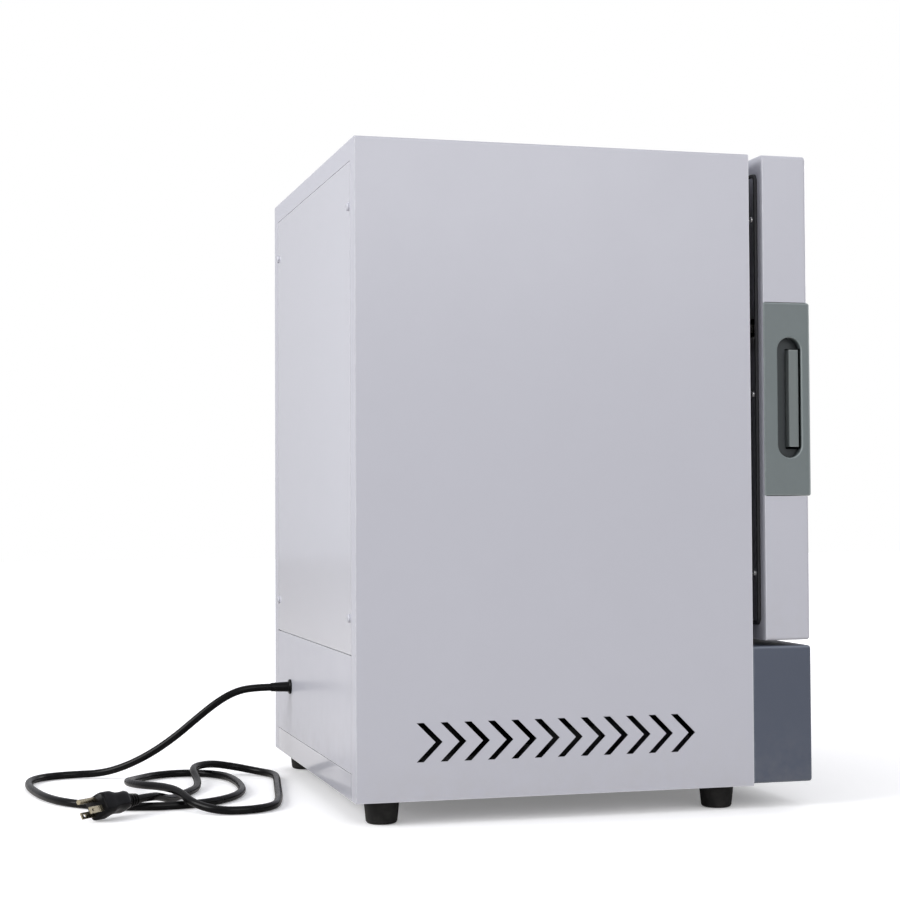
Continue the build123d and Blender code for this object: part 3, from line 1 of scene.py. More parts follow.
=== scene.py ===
"""The visual model of a bench drying oven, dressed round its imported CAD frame.

Sizes are in millimetres of the row frame, X to the oven's right, -Y out of its front and Z up
from the floor, and every finished mesh is scaled to metres. Each sub-assembly is a class that
builds its own meshes, finishes them and gives them to the body that they move with.
"""

import logging
import math
from collections.abc import Callable, Iterable, Sequence
from dataclasses import dataclass, field, replace
from enum import Enum

import bmesh
import bpy
from mathutils import Matrix, Vector

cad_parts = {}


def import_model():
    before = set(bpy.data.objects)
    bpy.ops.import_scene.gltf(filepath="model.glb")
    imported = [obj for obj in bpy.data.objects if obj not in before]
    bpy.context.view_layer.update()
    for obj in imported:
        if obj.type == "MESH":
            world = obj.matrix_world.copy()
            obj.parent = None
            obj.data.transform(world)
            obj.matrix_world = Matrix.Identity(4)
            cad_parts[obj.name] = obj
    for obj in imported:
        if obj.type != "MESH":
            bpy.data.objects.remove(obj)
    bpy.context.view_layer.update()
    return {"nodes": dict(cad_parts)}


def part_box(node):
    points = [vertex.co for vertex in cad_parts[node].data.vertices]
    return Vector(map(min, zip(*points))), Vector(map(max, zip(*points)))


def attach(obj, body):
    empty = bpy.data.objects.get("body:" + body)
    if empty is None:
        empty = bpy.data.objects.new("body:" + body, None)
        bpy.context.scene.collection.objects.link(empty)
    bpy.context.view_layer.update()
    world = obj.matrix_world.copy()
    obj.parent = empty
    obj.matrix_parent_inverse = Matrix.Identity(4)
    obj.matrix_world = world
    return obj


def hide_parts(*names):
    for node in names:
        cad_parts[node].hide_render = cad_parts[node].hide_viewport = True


log = logging.getLogger("drying_oven")

MM = 0.001
Triple = tuple[float, float, float]
Pair = tuple[float, float]
Socket = bpy.types.NodeSocket
Sockets = dict[str, Socket]

FRONT = -167.2          # the cabinet's front face
CABINET_D = 397.0
REAR = FRONT + CABINET_D
BOTTOM = 22.0           # the cabinet's underside
PANEL_FRONT = FRONT - 62.5
CONTROLS_Z = BOTTOM + 70.0
DOOR_REAR = FRONT - 14.5
INNER_PANEL = DOOR_REAR + 2.5
LEAF = 1.5              # how far the hinge leaves and the striker stand proud
DUST = (168, 164, 156)
DUST_REACH = 0.09       # how far dust climbs, in metres
DUST_ROUGH = 0.5        # how much roughness full dust adds
LEAST_ROUGH = 0.02
STREAK_SHARES = (0.4, 0.6)      # what patina and streaks give to the tone
MERGE = 0.0005          # vertices closer than this are one
WHITE = (1.0, 1.0, 1.0, 1.0)


def linear(colour: Triple) -> Triple:
    """Turn a colour in 0 to 255 steps into linear light."""
    shares = (value / 255 for value in colour)
    return tuple(s / 12.92 if s <= 0.04045 else ((s + 0.055) / 1.055) ** 2.4 for s in shares)


class Grain(Enum):
    """The fine structure that a surface has."""

    PEEL = "orange peel of sprayed enamel"
    MOULDED = "spark-eroded grain of a plastic mould"
    BRUSHED = "parallel lines of brushed or drawn metal"
    SPANGLE = "zinc crystals of galvanised sheet"
    FIBRE = "matted mineral fibres"
    RUBBER = "matt skin of moulded rubber"
    CLEAR = "polished, with no grain"


@dataclass(frozen=True)
class Patina:
    """The slow change of tone and gloss over a surface."""

    shade: float                   # how much darker the dark patches are
    patches: float                 # patches per metre
    wander: float = 0.05           # how far roughness goes to either side


@dataclass(frozen=True)
class Texture:
    """A surface's fine structure and its sizes."""

    kind: Grain
    scale: float = 900.0           # cells or lines per metre
    depth: float = 0.04            # in mm
    strength: float = 0.25
    stretch: Triple = (1.0, 1.0, 1.0)


@dataclass(frozen=True)
class EdgeWearAndHighlight:
    """The tone along a piece's edges: scuffs that show through, and a painted highlight that shines
    there.
    """

    colour: Triple
    width: float                   # in mm
    amount: float = 0.5


@dataclass(frozen=True)
class Finish:
    """A surface finish: its colour, gloss, grain, how it has aged and the painted highlight along
    its edges.
    """

    name: str
    slot: str
    colour: Triple                 # in 0 to 255 steps, as every colour here
    rough: float
    patina: Patina
    texture: Texture
    # scuffs and a painted highlight along the edges
    edge: EdgeWearAndHighlight | None = None
    metallic: float = 0.0
    dust: float = 0.0
    coat: float = 0.0
    coat_rough: float = 0.1
    specular: float = 0.5
    sheen: float = 0.0
    transmission: float = 0.0
    ior: float = 1.5


@dataclass(frozen=True)
class PaintedShadeAndHighlight:
    """Painted shade on a piece's faces by how far they lie within its outer skin, and a painted
    highlight on its rounded edges.
    """

    colour: Triple                 # the painted shade on the inner faces
    start: float                   # depth in mm at which it begins
    full: float                    # depth in mm at which it is full
    rim: Triple | None = None      # the painted highlight on rounded edges, strongest at the start


ENAMEL = Finish("sprayed_enamel", "cabinet_paint", (186, 187, 196), 0.34, Patina(0.035, 2.2),
                Texture(Grain.PEEL, 620, 0.03, 0.12), EdgeWearAndHighlight((216, 217, 222), 1.2, 0.55),
                dust=0.18, coat=0.25, coat_rough=0.2)
# the cabinet's enamel again on the rear cover and base pan: glossier, as the real rear is, and
# lighter as painted light
LIT_REAR_ENAMEL = Finish("lit_rear_gloss_enamel", "rear_paint", (196, 197, 206), 0.16,
                     Patina(0.03, 2.6, 0.03), Texture(Grain.PEEL, 520, 0.02, 0.06),
                     EdgeWearAndHighlight((228, 229, 233), 0.9, 0.7), dust=0.06, coat=0.6, coat_rough=0.08)
MOTOR_ENAMEL = Finish("motor_enamel", "motor_paint", (40, 42, 46), 0.4, Patina(0.12, 20),
                      Texture(Grain.PEEL, 700, 0.05), EdgeWearAndHighlight((120, 122, 126), 0.8, 0.4), dust=0.1)
SHEATH = Finish("heater_sheath", "heater_sheath", (78, 70, 68), 0.55, Patina(0.35, 30, 0.12),
                Texture(Grain.PEEL, 500, 0.03), metallic=0.6)
SLATE = Finish("slate_moulding", "panel_plastic", (76, 83, 98), 0.42, Patina(0.08, 6, 0.06),
               Texture(Grain.MOULDED, 1500, 0.05, 0.2), EdgeWearAndHighlight((112, 119, 130), 1.8, 0.6), dust=0.12)
GREY_GRIP = Finish("grip_moulding", "handle_plastic", (108, 117, 118), 0.45, Patina(0.09, 18, 0.1),
                   Texture(Grain.MOULDED, 1400, 0.06), EdgeWearAndHighlight((141, 150, 149), 1.8, 0.65))
GREY_PADDLE = Finish("paddle_moulding", "paddle_plastic", (111, 118, 118), 0.36,
                     Patina(0.05, 30, 0.06), Texture(Grain.MOULDED, 2200, 0.03, 0.12),
                     EdgeWearAndHighlight((150, 158, 157), 1.0, 0.8))
KEY_GREY = Finish("key_moulding", "button_plastic", (176, 180, 184), 0.4, Patina(0.06, 60),
                  Texture(Grain.MOULDED, 1800, 0.03), EdgeWearAndHighlight((202, 205, 208), 0.8, 0.6))
BLACK_MOULDING = Finish("black_moulding", "black_plastic", (28, 28, 30), 0.42, Patina(0.2, 30),
                        Texture(Grain.MOULDED, 1600), EdgeWearAndHighlight((66, 66, 69), 0.8))
BLACK_GLOSS = Finish("black_gloss_moulding", "rocker_plastic", (22, 22, 24), 0.2, Patina(0.15, 40),
                     Texture(Grain.MOULDED, 900, 0.01, 0.08), EdgeWearAndHighlight((70, 70, 72), 0.6), coat=0.4)
BLACK_TRIM = Finish("black_trim", "window_trim", (36, 36, 38), 0.34, Patina(0.12, 14),
                    Texture(Grain.MOULDED, 1500), EdgeWearAndHighlight((78, 78, 80), 1.0))
RELAY_CASE = Finish("relay_moulding", "relay_plastic", (26, 26, 28), 0.4, Patina(0.05, 20),
                    Texture(Grain.MOULDED, 1500, 0.03))
TERMINAL_CREAM = Finish("terminal_moulding", "terminal_plastic", (212, 206, 182), 0.45,
                        Patina(0.06, 20), Texture(Grain.MOULDED, 1500, 0.03))
BOARD_GREEN = Finish("soldered_board", "board_green", (34, 92, 58), 0.35, Patina(0.25, 60),
                     Texture(Grain.MOULDED, 600, 0.05), coat=0.3)
UNLIT_SEGMENT = Finish("unlit_segments", "black_plastic", (140, 96, 92), 0.4, Patina(0.1, 80),
                       Texture(Grain.MOULDED))
WHITE_INK = Finish("printed_marks", "button_plastic", (226, 227, 228), 0.5, Patina(0.05, 80),
                   Texture(Grain.MOULDED))
DARK_INK = replace(WHITE_INK, name="dark_marks", slot="panel_plastic", colour=(52, 56, 62))
FILM = Finish("panel_film", "panel_plastic", (70, 76, 87), 0.3, Patina(0.06, 8),
              Texture(Grain.MOULDED, 2200, 0.02), coat=0.15)
STAINLESS = Finish("brushed_stainless", "stainless", (196, 197, 199), 0.3, Patina(0.08, 7, 0.1),
                   Texture(Grain.BRUSHED, 26, 0.03, 0.3, (0.25, 26.0, 26.0)),
                   EdgeWearAndHighlight((226, 227, 228), 0.9), metallic=1.0)
LINER_STAINLESS = replace(STAINLESS, name="liner_stainless", patina=Patina(0.1, 5, 0.06),
                          texture=Texture(Grain.BRUSHED, 26, 0.03, 0.25, (0.25, 0.25, 26.0)))
UPRIGHT_STAINLESS = Finish("upright_stainless", "stainless", (188, 189, 192), 0.32,
                           Patina(0.12, 7, 0.1),
                           Texture(Grain.BRUSHED, 26, 0.03, 0.3, (26.0, 26.0, 0.25)),
                           EdgeWearAndHighlight((222, 223, 225), 0.9), metallic=1.0)
SHELF_WIRE = Finish("polished_wire", "shelf_wire", (206, 207, 209), 0.2, Patina(0.1, 14, 0.08),
                    Texture(Grain.BRUSHED, 40, 0.01, 0.2, (1.0, 6.0, 6.0)), metallic=1.0)
ZINC = Finish("galvanised_sheet", "zinc_sheet", (176, 179, 182), 0.44, Patina(0.16, 10, 0.1),
              Texture(Grain.SPANGLE, 190, 0.01, 0.1), EdgeWearAndHighlight((205, 207, 209), 1.0, 0.4),
              metallic=0.9, dust=0.1)
BRIGHT_ZINC = Finish("bright_plating", "screw_steel", (205, 205, 204), 0.24, Patina(0.14, 120, 0.1),
                     Texture(Grain.BRUSHED, 300, 0.01, 0.15, (1.0, 1.0, 4.0)), metallic=1.0)
NICKEL = Finish("nickel_plating", "hinge_steel", (176, 175, 172), 0.3, Patina(0.16, 60, 0.12),
                Texture(Grain.BRUSHED, 120, 0.01, 0.2, (6.0, 6.0, 0.6)),
                EdgeWearAndHighlight((214, 213, 210), 0.5), metallic=1.0)
SPRING_STEEL = Finish("oiled_spring_steel", "spring_steel", (108, 106, 104), 0.32, Patina(0.2, 150),
                      Texture(Grain.BRUSHED, 400, 0.01, stretch=(1.0, 1.0, 3.0)), metallic=1.0)
EXTRUSION = Finish("black_anodised_extrusion", "aluminium", (42, 42, 45), 0.36, Patina(0.1, 20),
                   Texture(Grain.BRUSHED, 30, 0.03, stretch=(20.0, 0.3, 20.0)), metallic=0.5)
PLATED_BRASS = Finish("plated_brass", "plug_brass", (182, 173, 148), 0.26, Patina(0.18, 90),
                      Texture(Grain.BRUSHED, 200, 0.01, stretch=(1.0, 4.0, 4.0)),
                      EdgeWearAndHighlight((232, 222, 190), 0.4, 0.4), metallic=1.0)
WOOL = Finish("mineral_wool", "mineral_wool", (204, 190, 146), 0.95, Patina(0.3, 26, 0.0),
              Texture(Grain.FIBRE, 190, 1.5, 0.7, (1.0, 1.0, 2.6)), sheen=0.2)
SEAL_RUBBER = Finish("seal_rubber", "gasket_rubber", (34, 34, 38), 0.55, Patina(0.25, 24, 0.1),
                     Texture(Grain.RUBBER, 1300, 0.05), EdgeWearAndHighlight((62, 62, 66), 1.0, 0.35))
FOOT_RUBBER = Finish("foot_rubber", "foot_rubber", (12, 12, 12), 0.55, Patina(0.25, 40, 0.1),
                     Texture(Grain.RUBBER, 1100, 0.06), specular=0.25, dust=0.06)
CORD_RUBBER = Finish("cord_jacket", "cord_rubber", (10, 10, 11), 0.24, Patina(0.2, 40, 0.06),
                     Texture(Grain.RUBBER, 1500, 0.03, 0.12), specular=0.14)
CLEAR_GLASS = Finish("window_glass", "window_glass", (236, 242, 241), 0.02, Patina(0.04, 14, 0.03),
                     Texture(Grain.CLEAR), transmission=1.0)
SMOKED_GLASS = Finish("display_cover", "display_glass", (150, 150, 156), 0.05,
                      Patina(0.1, 40, 0.04), Texture(Grain.CLEAR), transmission=0.8, ior=1.45)
STUDIO_FLOOR = Finish("studio_floor", "none", (246, 246, 246), 0.6, Patina(0.01, 1.0, 0.02),
                      Texture(Grain.PEEL, 60, 0.1, 0.02))


@dataclass
class Board:
    """A node tree under work, with short ways to add nodes and join them."""

    tree: bpy.types.NodeTree

    def find(self, kind: str) -> bpy.types.Node:
        """The tree's first node of a type."""
        return next(node for node in self.tree.nodes if node.type == kind)

    def add(self, kind: str, inputs: dict[int | str, object] | None = None,
            **settings: object) -> bpy.types.Node:
        """Add a node, set its plain properties and fill its inputs.

        Args:
            kind: The node's type name.
            inputs: What goes into its inputs, by name or by place.
            settings: Properties of the node, by name.

        Returns:
            The new node.
        """
        node = self.tree.nodes.new(kind)
        for name, value in settings.items():
            setattr(node, name, value)
        for key, source in (inputs or {}).items():
            self.feed(node.inputs[key], source)
        return node

    def feed(self, socket: Socket, source: object) -> None:
        """Give a socket a value, or join it to another socket.

        Args:
            socket: The input to fill.
            source: A number, a tuple or an output socket.
        """
        if isinstance(source, Socket):
            self.tree.links.new(source, socket)
        else:
            socket.default_value = source

    def calc(self, operation: str, first: object, second: object = 0.0,
             clamp: bool = False) -> Socket:
        """Do one step of arithmetic, kept between 0 and 1 if clamp is set."""
        return self.add("ShaderNodeMath", {0: first, 1: second}, operation=operation,
                        use_clamp=clamp).outputs[0]

    def weigh(self, first: object, second: object, shares: Pair, clamp: bool = False) -> Socket:
        """Add two values by their shares."""
        parts = [self.calc("MULTIPLY", *pair) for pair in zip((first, second), shares)]
        return self.calc("ADD", *parts, clamp=clamp)

    def gap(self, first: object, second: object) -> Socket:
        """Take one vector from another."""
        return self.add("ShaderNodeVectorMath", {0: first, 1: second},
                        operation="SUBTRACT").outputs[0]

    def split(self, vector: object) -> list[Socket]:
        """The three parts of a vector."""
        return list(self.add("ShaderNodeSeparateXYZ", {0: vector}).outputs)

    def ramp(self, value: object, low: object, high: object, start: object = 0.0,
             end: object = 1.0) -> Socket:
        """Spread a value from the range low to high over the range start to end."""
        return self.add("ShaderNodeMapRange",
                        dict(enumerate((value, low, high, start, end)))).outputs[0]

    def noise(self, vector: object, scale: object, detail: float, roughness: float = 0.5,
              distortion: float = 0.0) -> Socket:
        """Sample noise, and return the socket of its value."""
        return self.add("ShaderNodeTexNoise", {
            "Vector": vector, "Scale": scale, "Detail": detail, "Roughness": roughness,
            "Distortion": distortion}).outputs[0]

    def blend(self, amount: object, first: object, second: object) -> Socket:
        """Mix two colours.

        Args:
            amount: The share of the second, as a number or a socket.
            first: A socket, or a colour in linear light.
            second: The same.

        Returns:
            The result's socket.
        """
        node = self.add("ShaderNodeMix", {"Factor": amount}, data_type="RGBA")
        sockets = [s for s in node.inputs if s.type == "RGBA"]
        for socket, colour in zip(sockets, (first, second)):
            joined = isinstance(colour, Socket)
            self.feed(socket, colour if joined else (*colour, 1.0))
        return next(s for s in node.outputs if s.type == "RGBA")


@dataclass
class Effect(Board):
    """The node group of an effect that several materials share: each method fills one."""

    given: Sockets

    def scaled_noise(self, times: float, detail: float, roughness: float = 0.5) -> Socket:
        """Noise over the group's own place, at some times its scale."""
        scale = self.calc("MULTIPLY", self.given["Scale"], times)
        return self.noise(self.given["Vector"], scale, detail, roughness)

    def cells(self, **settings: object) -> Sockets:
        """The outputs of cells over the group's own place."""
        return self.add("ShaderNodeTexVoronoi", {
            name: self.given[name] for name in ("Vector", "Scale")}, **settings).outputs

    def patina(self) -> Sockets:
        """Slow change of tone in two sizes of patch: Shade is 1 where it is darkest."""
        wide = self.noise(self.given["Vector"], self.given["Scale"], 3.0)
        both = self.weigh(wide, self.scaled_noise(8.3, 4.0, 0.6), (0.7, 0.3))
        return {"Shade": self.ramp(both, 0.32, 0.68)}

    def orange_peel(self) -> Sockets:
        """The shallow waves of sprayed enamel."""
        return {"Height": self.noise(self.given["Vector"], self.given["Scale"], 1.5, 0.4)}

    def mould_grain(self) -> Sockets:
        """The cells and pits that a mould's wall leaves on plastic or rubber."""
        cells = self.cells(feature="SMOOTH_F1")["Distance"]
        return {"Height": self.weigh(cells, self.scaled_noise(1.7, 2.0), (0.6, 0.4))}

    def brushed_lines(self) -> Sockets:
        """Parallel lines and streaks, along the direction that the mapping has stretched."""
        lines = self.noise(self.given["Vector"], self.given["Scale"], 5.0, 0.75)
        both = self.weigh(lines, self.scaled_noise(0.16, 2.0), (0.55, 0.45))
        return {"Height": lines, "Streak": self.ramp(both, 0.35, 0.65)}

    def zinc_spangle(self) -> Sockets:
        """The crystals of a zinc coat, each in its own tone."""
        cells = self.cells()
        tone = self.add("ShaderNodeSeparateColor", {0: cells["Color"]}).outputs[0]
        return {"Height": cells["Distance"], "Streak": tone}

    def matted_fibres(self) -> Sockets:
        """Two layers of drawn-out fibres that cross, the higher one on top.

        Returns:
            Height, and Streak, the tone of each fibre.
        """
        layers = []
        for angle in (0.5, -0.9):
            turn = self.add("ShaderNodeMapping", {
                "Vector": self.given["Vector"], "Rotation": (angle, angle * 0.6, angle),
                "Scale": (0.12, 1.0, 1.0)})
            layers.append(self.noise(turn.outputs[0], self.given["Scale"], 4.0, 0.65, 0.4))
        top = self.calc("MAXIMUM", *layers)
        return {"Height": top, "Streak": self.ramp(top, 0.4, 0.7)}

    def settled_dust(self) -> Sockets:
        """Dust that thins out upwards from a low edge, broken up by noise.

        Returns:
            Mask, 1 where it lies thickest.
        """
        height = self.calc("SUBTRACT", self.split(self.given["Vector"])[2], self.given["Low"])
        rise = self.calc("DIVIDE", height, self.given["Reach"])
        left = self.calc("POWER", self.calc("SUBTRACT", 1.0, rise, clamp=True), 2.0)
        speck = self.ramp(self.noise(self.given["Vector"], 60.0, 5.0, 0.65), 0.38, 0.75)
        return {"Mask": self.calc("MULTIPLY", left, speck, clamp=True)}

    def edge_wear_and_highlight(self) -> Sockets:
        """The strip along a box-shaped piece's edges, scuffed by handling and given a painted
        highlight, broken up as handling breaks it.

        The middle one of the three distances to the box's faces is small only at an edge.

        Returns:
            Mask, 1 on the edge itself.
        """
        nearest = self.add("ShaderNodeVectorMath", {
            0: self.gap(self.given["Vector"], self.given["Low"]),
            1: self.gap(self.given["High"], self.given["Vector"])}, operation="MINIMUM").outputs[0]
        near = [self.calc("ABSOLUTE", part) for part in self.split(nearest)]
        low = self.calc("MINIMUM", *near[:2])
        high = self.calc("MAXIMUM", *near[:2])
        middle = self.calc("MAXIMUM", low, self.calc("MINIMUM", high, near[2]))
        chips = self.noise(self.given["Vector"], 90.0, 5.0, 0.7)
        width = self.calc("MULTIPLY", self.given["Width"], self.ramp(chips, 0.3, 0.7, 0.35, 1.5))
        share = self.calc("DIVIDE", middle, width)
        return {"Mask": self.calc("SUBTRACT", 1.0, share, clamp=True)}

    def painted_inner_shade_and_rim(self) -> Sockets:
        """How far within a box a point lies, by the least of the distances to its six faces, for
        painted shade on deep faces and a painted highlight on rounded rims.

        Returns:
            Mask, the painted shade, which rises from Start to Full, and Rim, the painted highlight,
            which peaks at Start.
        """
        gaps = [*self.split(self.gap(self.given["Vector"], self.given["Low"])),
                *self.split(self.gap(self.given["High"], self.given["Vector"]))]
        least = gaps[0]
        for gap in gaps[1:]:
            least = self.calc("MINIMUM", least, gap)
        share = self.calc("DIVIDE", least, self.given["Start"])
        off = self.calc("ABSOLUTE", self.calc("SUBTRACT", share, 1.0))
        return {"Mask": self.ramp(least, self.given["Start"], self.given["Full"]),
                "PaintedRimHighlight": self.calc("SUBTRACT", 1.0, off, clamp=True)}


GRAINS = {Grain.PEEL: Effect.orange_peel, Grain.MOULDED: Effect.mould_grain,
          Grain.RUBBER: Effect.mould_grain, Grain.BRUSHED: Effect.brushed_lines,
          Grain.SPANGLE: Effect.zinc_spangle, Grain.FIBRE: Effect.matted_fibres}


@dataclass
class PaintShop:
    """Turns finishes into materials and puts them on pieces."""

    nodes: dict[str, bpy.types.Object]
    groups: dict[str, bpy.types.NodeTree] = field(default_factory=dict)

    def effect(self, board: Board, fill: Callable[[Effect], Sockets],
               **values: object) -> Sockets:
        """Put a shared effect in a material, and make its node group at its first use.

        Args:
            board: The material's board.
            fill: The method that fills the group.
            values: What goes into the group's inputs, by name.

        Returns:
            The group's outputs.
        """
        name = fill.__name__
        if name not in self.groups:
            tree = self.groups[name] = bpy.data.node_groups.new(name, "ShaderNodeTree")
            for label, value in values.items():
                kind = "Float" if isinstance(value, (int, float)) else "Vector"
                tree.interface.new_socket(label, in_out="INPUT", socket_type=f"NodeSocket{kind}")
            entry = tree.nodes.new("NodeGroupInput")
            group = Effect(tree, {socket.name: socket for socket in entry.outputs})
            results = fill(group)
            for label in results:
                tree.interface.new_socket(label, in_out="OUTPUT", socket_type="NodeSocketFloat")
            group.add("NodeGroupOutput", results)
        return board.add("ShaderNodeGroup", values, node_tree=self.groups[name]).outputs

    def material(self, finish: Finish, label: str, box: tuple[Vector, Vector] | None,
                 painted_shade_and_highlight: PaintedShadeAndHighlight | None = None) -> bpy.types.Material:
        """Make a material from a finish.

        Args:
            finish: The finish.
            label: The name of the piece, for the material's name.
            box: The piece's corners in metres, for its edges and its dust, or None.
            painted_shade_and_highlight: The painted shade on its inner faces and the painted
                highlight on its rounded rims, or None.

        Returns:
            The material.
        """
        material = bpy.data.materials.new(f"{finish.name}_{label}")
        material.use_nodes = True
        tone, texture = linear(finish.colour), finish.texture
        material.diffuse_color = (*tone, 1.0)
        board = Board(material.node_tree)
        shader = board.find("BSDF_PRINCIPLED")
        constants = {"Metallic": finish.metallic, "IOR": finish.ior,
                     "Specular IOR Level": finish.specular, "Coat Weight": finish.coat,
                     "Coat Roughness": finish.coat_rough, "Sheen Weight": finish.sheen,
                     "Transmission Weight": finish.transmission}
        for name, value in constants.items():
            shader.inputs[name].default_value = value
        spot = board.add("ShaderNodeTexCoord").outputs["Object"]
        amount = self.effect(board, Effect.patina, Vector=spot,
                             Scale=finish.patina.patches)["Shade"]
        if texture.kind in GRAINS:
            stretched = board.add("ShaderNodeMapping", {"Vector": spot, "Scale": texture.stretch})
            grain = self.effect(board, GRAINS[texture.kind], Vector=stretched.outputs[0],
                                Scale=texture.scale)
            bump = board.add("ShaderNodeBump", {
                "Strength": texture.strength, "Distance": texture.depth * MM,
                "Height": grain["Height"]})
            board.feed(shader.inputs["Normal"], bump.outputs["Normal"])
            if "Streak" in grain:
                amount = board.weigh(amount, grain["Streak"], STREAK_SHARES, clamp=True)
        dark = tuple(value * (1 - finish.patina.shade) for value in tone)
        colour = board.blend(amount, tone, dark)
        glossy, matt = (finish.rough + side * finish.patina.wander for side in (-1, 1))
        rough = board.ramp(amount, 0.0, 1.0, max(glossy, LEAST_ROUGH), matt)
        corners = {"Low": tuple(box[0]), "High": tuple(box[1])} if box else {}
        # scuffed edges, with a painted highlight along them
        if finish.edge and box:
            wear_and_highlight = self.effect(board, Effect.edge_wear_and_highlight, Vector=spot, **corners,
                               Width=finish.edge.width * MM)
            worn_and_lit = board.calc("MULTIPLY", wear_and_highlight["Mask"], finish.edge.amount)
            colour = board.blend(worn_and_lit, colour, linear(finish.edge.colour))
        if finish.dust and box:
            dust = self.effect(board, Effect.settled_dust, Vector=spot, Low=box[0].z,
                               Reach=DUST_REACH)
            film = board.calc("MULTIPLY", dust["Mask"], finish.dust)
            colour = board.blend(film, colour, linear(DUST))
            rough = board.calc("ADD", rough, board.calc("MULTIPLY", film, DUST_ROUGH), clamp=True)
        # painted shade on inner faces, and a painted highlight on rounded rims
        if painted_shade_and_highlight and box:
            painted_shade_and_rim = self.effect(board, Effect.painted_inner_shade_and_rim, Vector=spot, **corners,
                                 Start=painted_shade_and_highlight.start * MM, Full=painted_shade_and_highlight.full * MM)
            if painted_shade_and_highlight.rim:
                colour = board.blend(painted_shade_and_rim["PaintedRimHighlight"], colour, linear(painted_shade_and_highlight.rim))
            colour = board.blend(painted_shade_and_rim["Mask"], colour, linear(painted_shade_and_highlight.colour))
        board.feed(shader.inputs["Base Color"], colour)
        board.feed(shader.inputs["Roughness"], rough)
        return material

    def dress(self, node: str, finish: Finish, painted_shade_and_highlight: PaintedShadeAndHighlight | None = None) -> None:
        """Give a CAD node a finish of its own, scuffed and given a painted highlight along its own
        edges.

        Args:
            node: The node's name.
            finish: What it is made of.
            painted_shade_and_highlight: The painted shade on its inner faces and the painted
                highlight on its rounded rims, or None.
        """
        slots = self.nodes[node].data.materials
        slots.clear()
        slots.append(self.material(finish, node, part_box(node), painted_shade_and_highlight))

    def settle(self, piece: bpy.types.Object, finish: Finish, body: str,
               replaces: Sequence[str] = ()) -> bpy.types.Object:
        """Link a piece, give it its material, and put it on its body.

        Args:
            piece: The object, with its place in its mesh.
            finish: What it is made of.
            body: The CAD body that it moves with.
            replaces: The CAD nodes that it stands for.

        Returns:
            The same piece.
        """
        bpy.context.scene.collection.objects.link(piece)
        bpy.context.view_layer.update()
        corners = [Vector(corner) for corner in piece.bound_box]
        box = (Vector(map(min, zip(*corners))), Vector(map(max, zip(*corners))))
        piece.data.materials.append(self.material(finish, piece.name, box))
        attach(piece, body)
        if replaces:
            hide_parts(*replaces)
        log.info("%s rides on %s", piece.name, body)
        return piece


def round_off(mesh: bmesh.types.BMesh, edges: Sequence[bmesh.types.BMEdge], offset: float,
              segments: int) -> None:
    """Round some edges of a mesh."""
    bmesh.ops.bevel(mesh, geom=edges, offset=offset, segments=segments, affect="EDGES",
                    profile=0.5, material=-1)


def cast(mesh: bmesh.types.BMesh, name: str) -> bpy.types.Object:
    """Turn a mesh under work into an object.

    Args:
        mesh: The mesh, which is used up.
        name: The object's name.

    Returns:
        The object, in no collection yet.
    """
    data = bpy.data.meshes.new(name)
    mesh.to_mesh(data)
    mesh.free()
    return bpy.data.objects.new(name, data)


@dataclass
class Blank:
    """A mesh under work, in millimetres of the row frame, that ends as one finished piece."""

    name: str
    shop: PaintShop
    mesh: bmesh.types.BMesh = field(default_factory=bmesh.new)

    def block(self, low: Triple, high: Triple, round_edges: float) -> None:
        """Add a block with rounded edges.

        Args:
            low: The lowest corner.
            high: The highest corner.
            round_edges: The width of the rounding.
        """
        centre = (Vector(low) + Vector(high)) / 2
        size = Vector(high) - Vector(low)
        matrix = Matrix.Translation(centre) @ Matrix.Diagonal((*size, 1.0))
        made = bmesh.ops.create_cube(self.mesh, size=1.0, matrix=matrix)
        edges = list({edge for vert in made["verts"] for edge in vert.link_edges})
        round_off(self.mesh, edges, round_edges, 2)

    def rod(self, start: Vector, end: Vector, radius: float, round_edges: float,
            sides: int) -> None:
        """Add a rod between two points.

        Args:
            start: The middle of its first end.
            end: The middle of its second end.
            radius: Its radius.
            round_edges: The rounding round its ends.
            sides: How many sides it has.
        """
        axis = end - start
        turn = Vector((0, 0, 1)).rotation_difference(axis).to_matrix().to_4x4()
        made = bmesh.ops.create_cone(
            self.mesh, cap_ends=True, segments=sides, radius1=radius, radius2=radius,
            depth=axis.length, matrix=Matrix.Translation((start + end) / 2) @ turn)
        rings = [edge for edge in {e for v in made["verts"] for e in v.link_edges}
                 if any(len(face.verts) > 4 for face in edge.link_faces)]
        round_off(self.mesh, rings, round_edges, 3)

    def take(self, mesh: bpy.types.Mesh, matrix: Matrix = Matrix()) -> None:
        """Add a copy of a mesh.

        Args:
            mesh: The mesh, in millimetres.
            matrix: What moves it to its place.
        """
        known = set(self.mesh.verts)
        self.mesh.from_mesh(mesh)
        fresh = [vert for vert in self.mesh.verts if vert not in known]
        bmesh.ops.transform(self.mesh, matrix=matrix, verts=fresh)

    def finish(self, finish: Finish, body: str, replaces: Sequence[str] = (),
               smooth: float = 35.0) -> bpy.types.Object:
        """Close the mesh, scale it to metres, give it its finish and its body.

        Args:
            finish: What it is made of.
            body: The CAD body that it moves with.
            replaces: The CAD nodes that it stands for.
            smooth: The angle in degrees past which an edge stays sharp.

        Returns:
            The finished piece.
        """
        bmesh.ops.remove_doubles(self.mesh, verts=self.mesh.verts[:], dist=MERGE)
        bmesh.ops.recalc_face_normals(self.mesh, faces=self.mesh.faces[:])
        bmesh.ops.scale(self.mesh, vec=(MM, MM, MM), verts=self.mesh.verts[:])
        piece = cast(self.mesh, self.name)
        faces = piece.data.polygons
        faces.foreach_set("use_smooth", [True] * len(faces))
        piece.data.set_sharp_from_angle(angle=math.radians(smooth))
        return self.shop.settle(piece, finish, body, replaces)


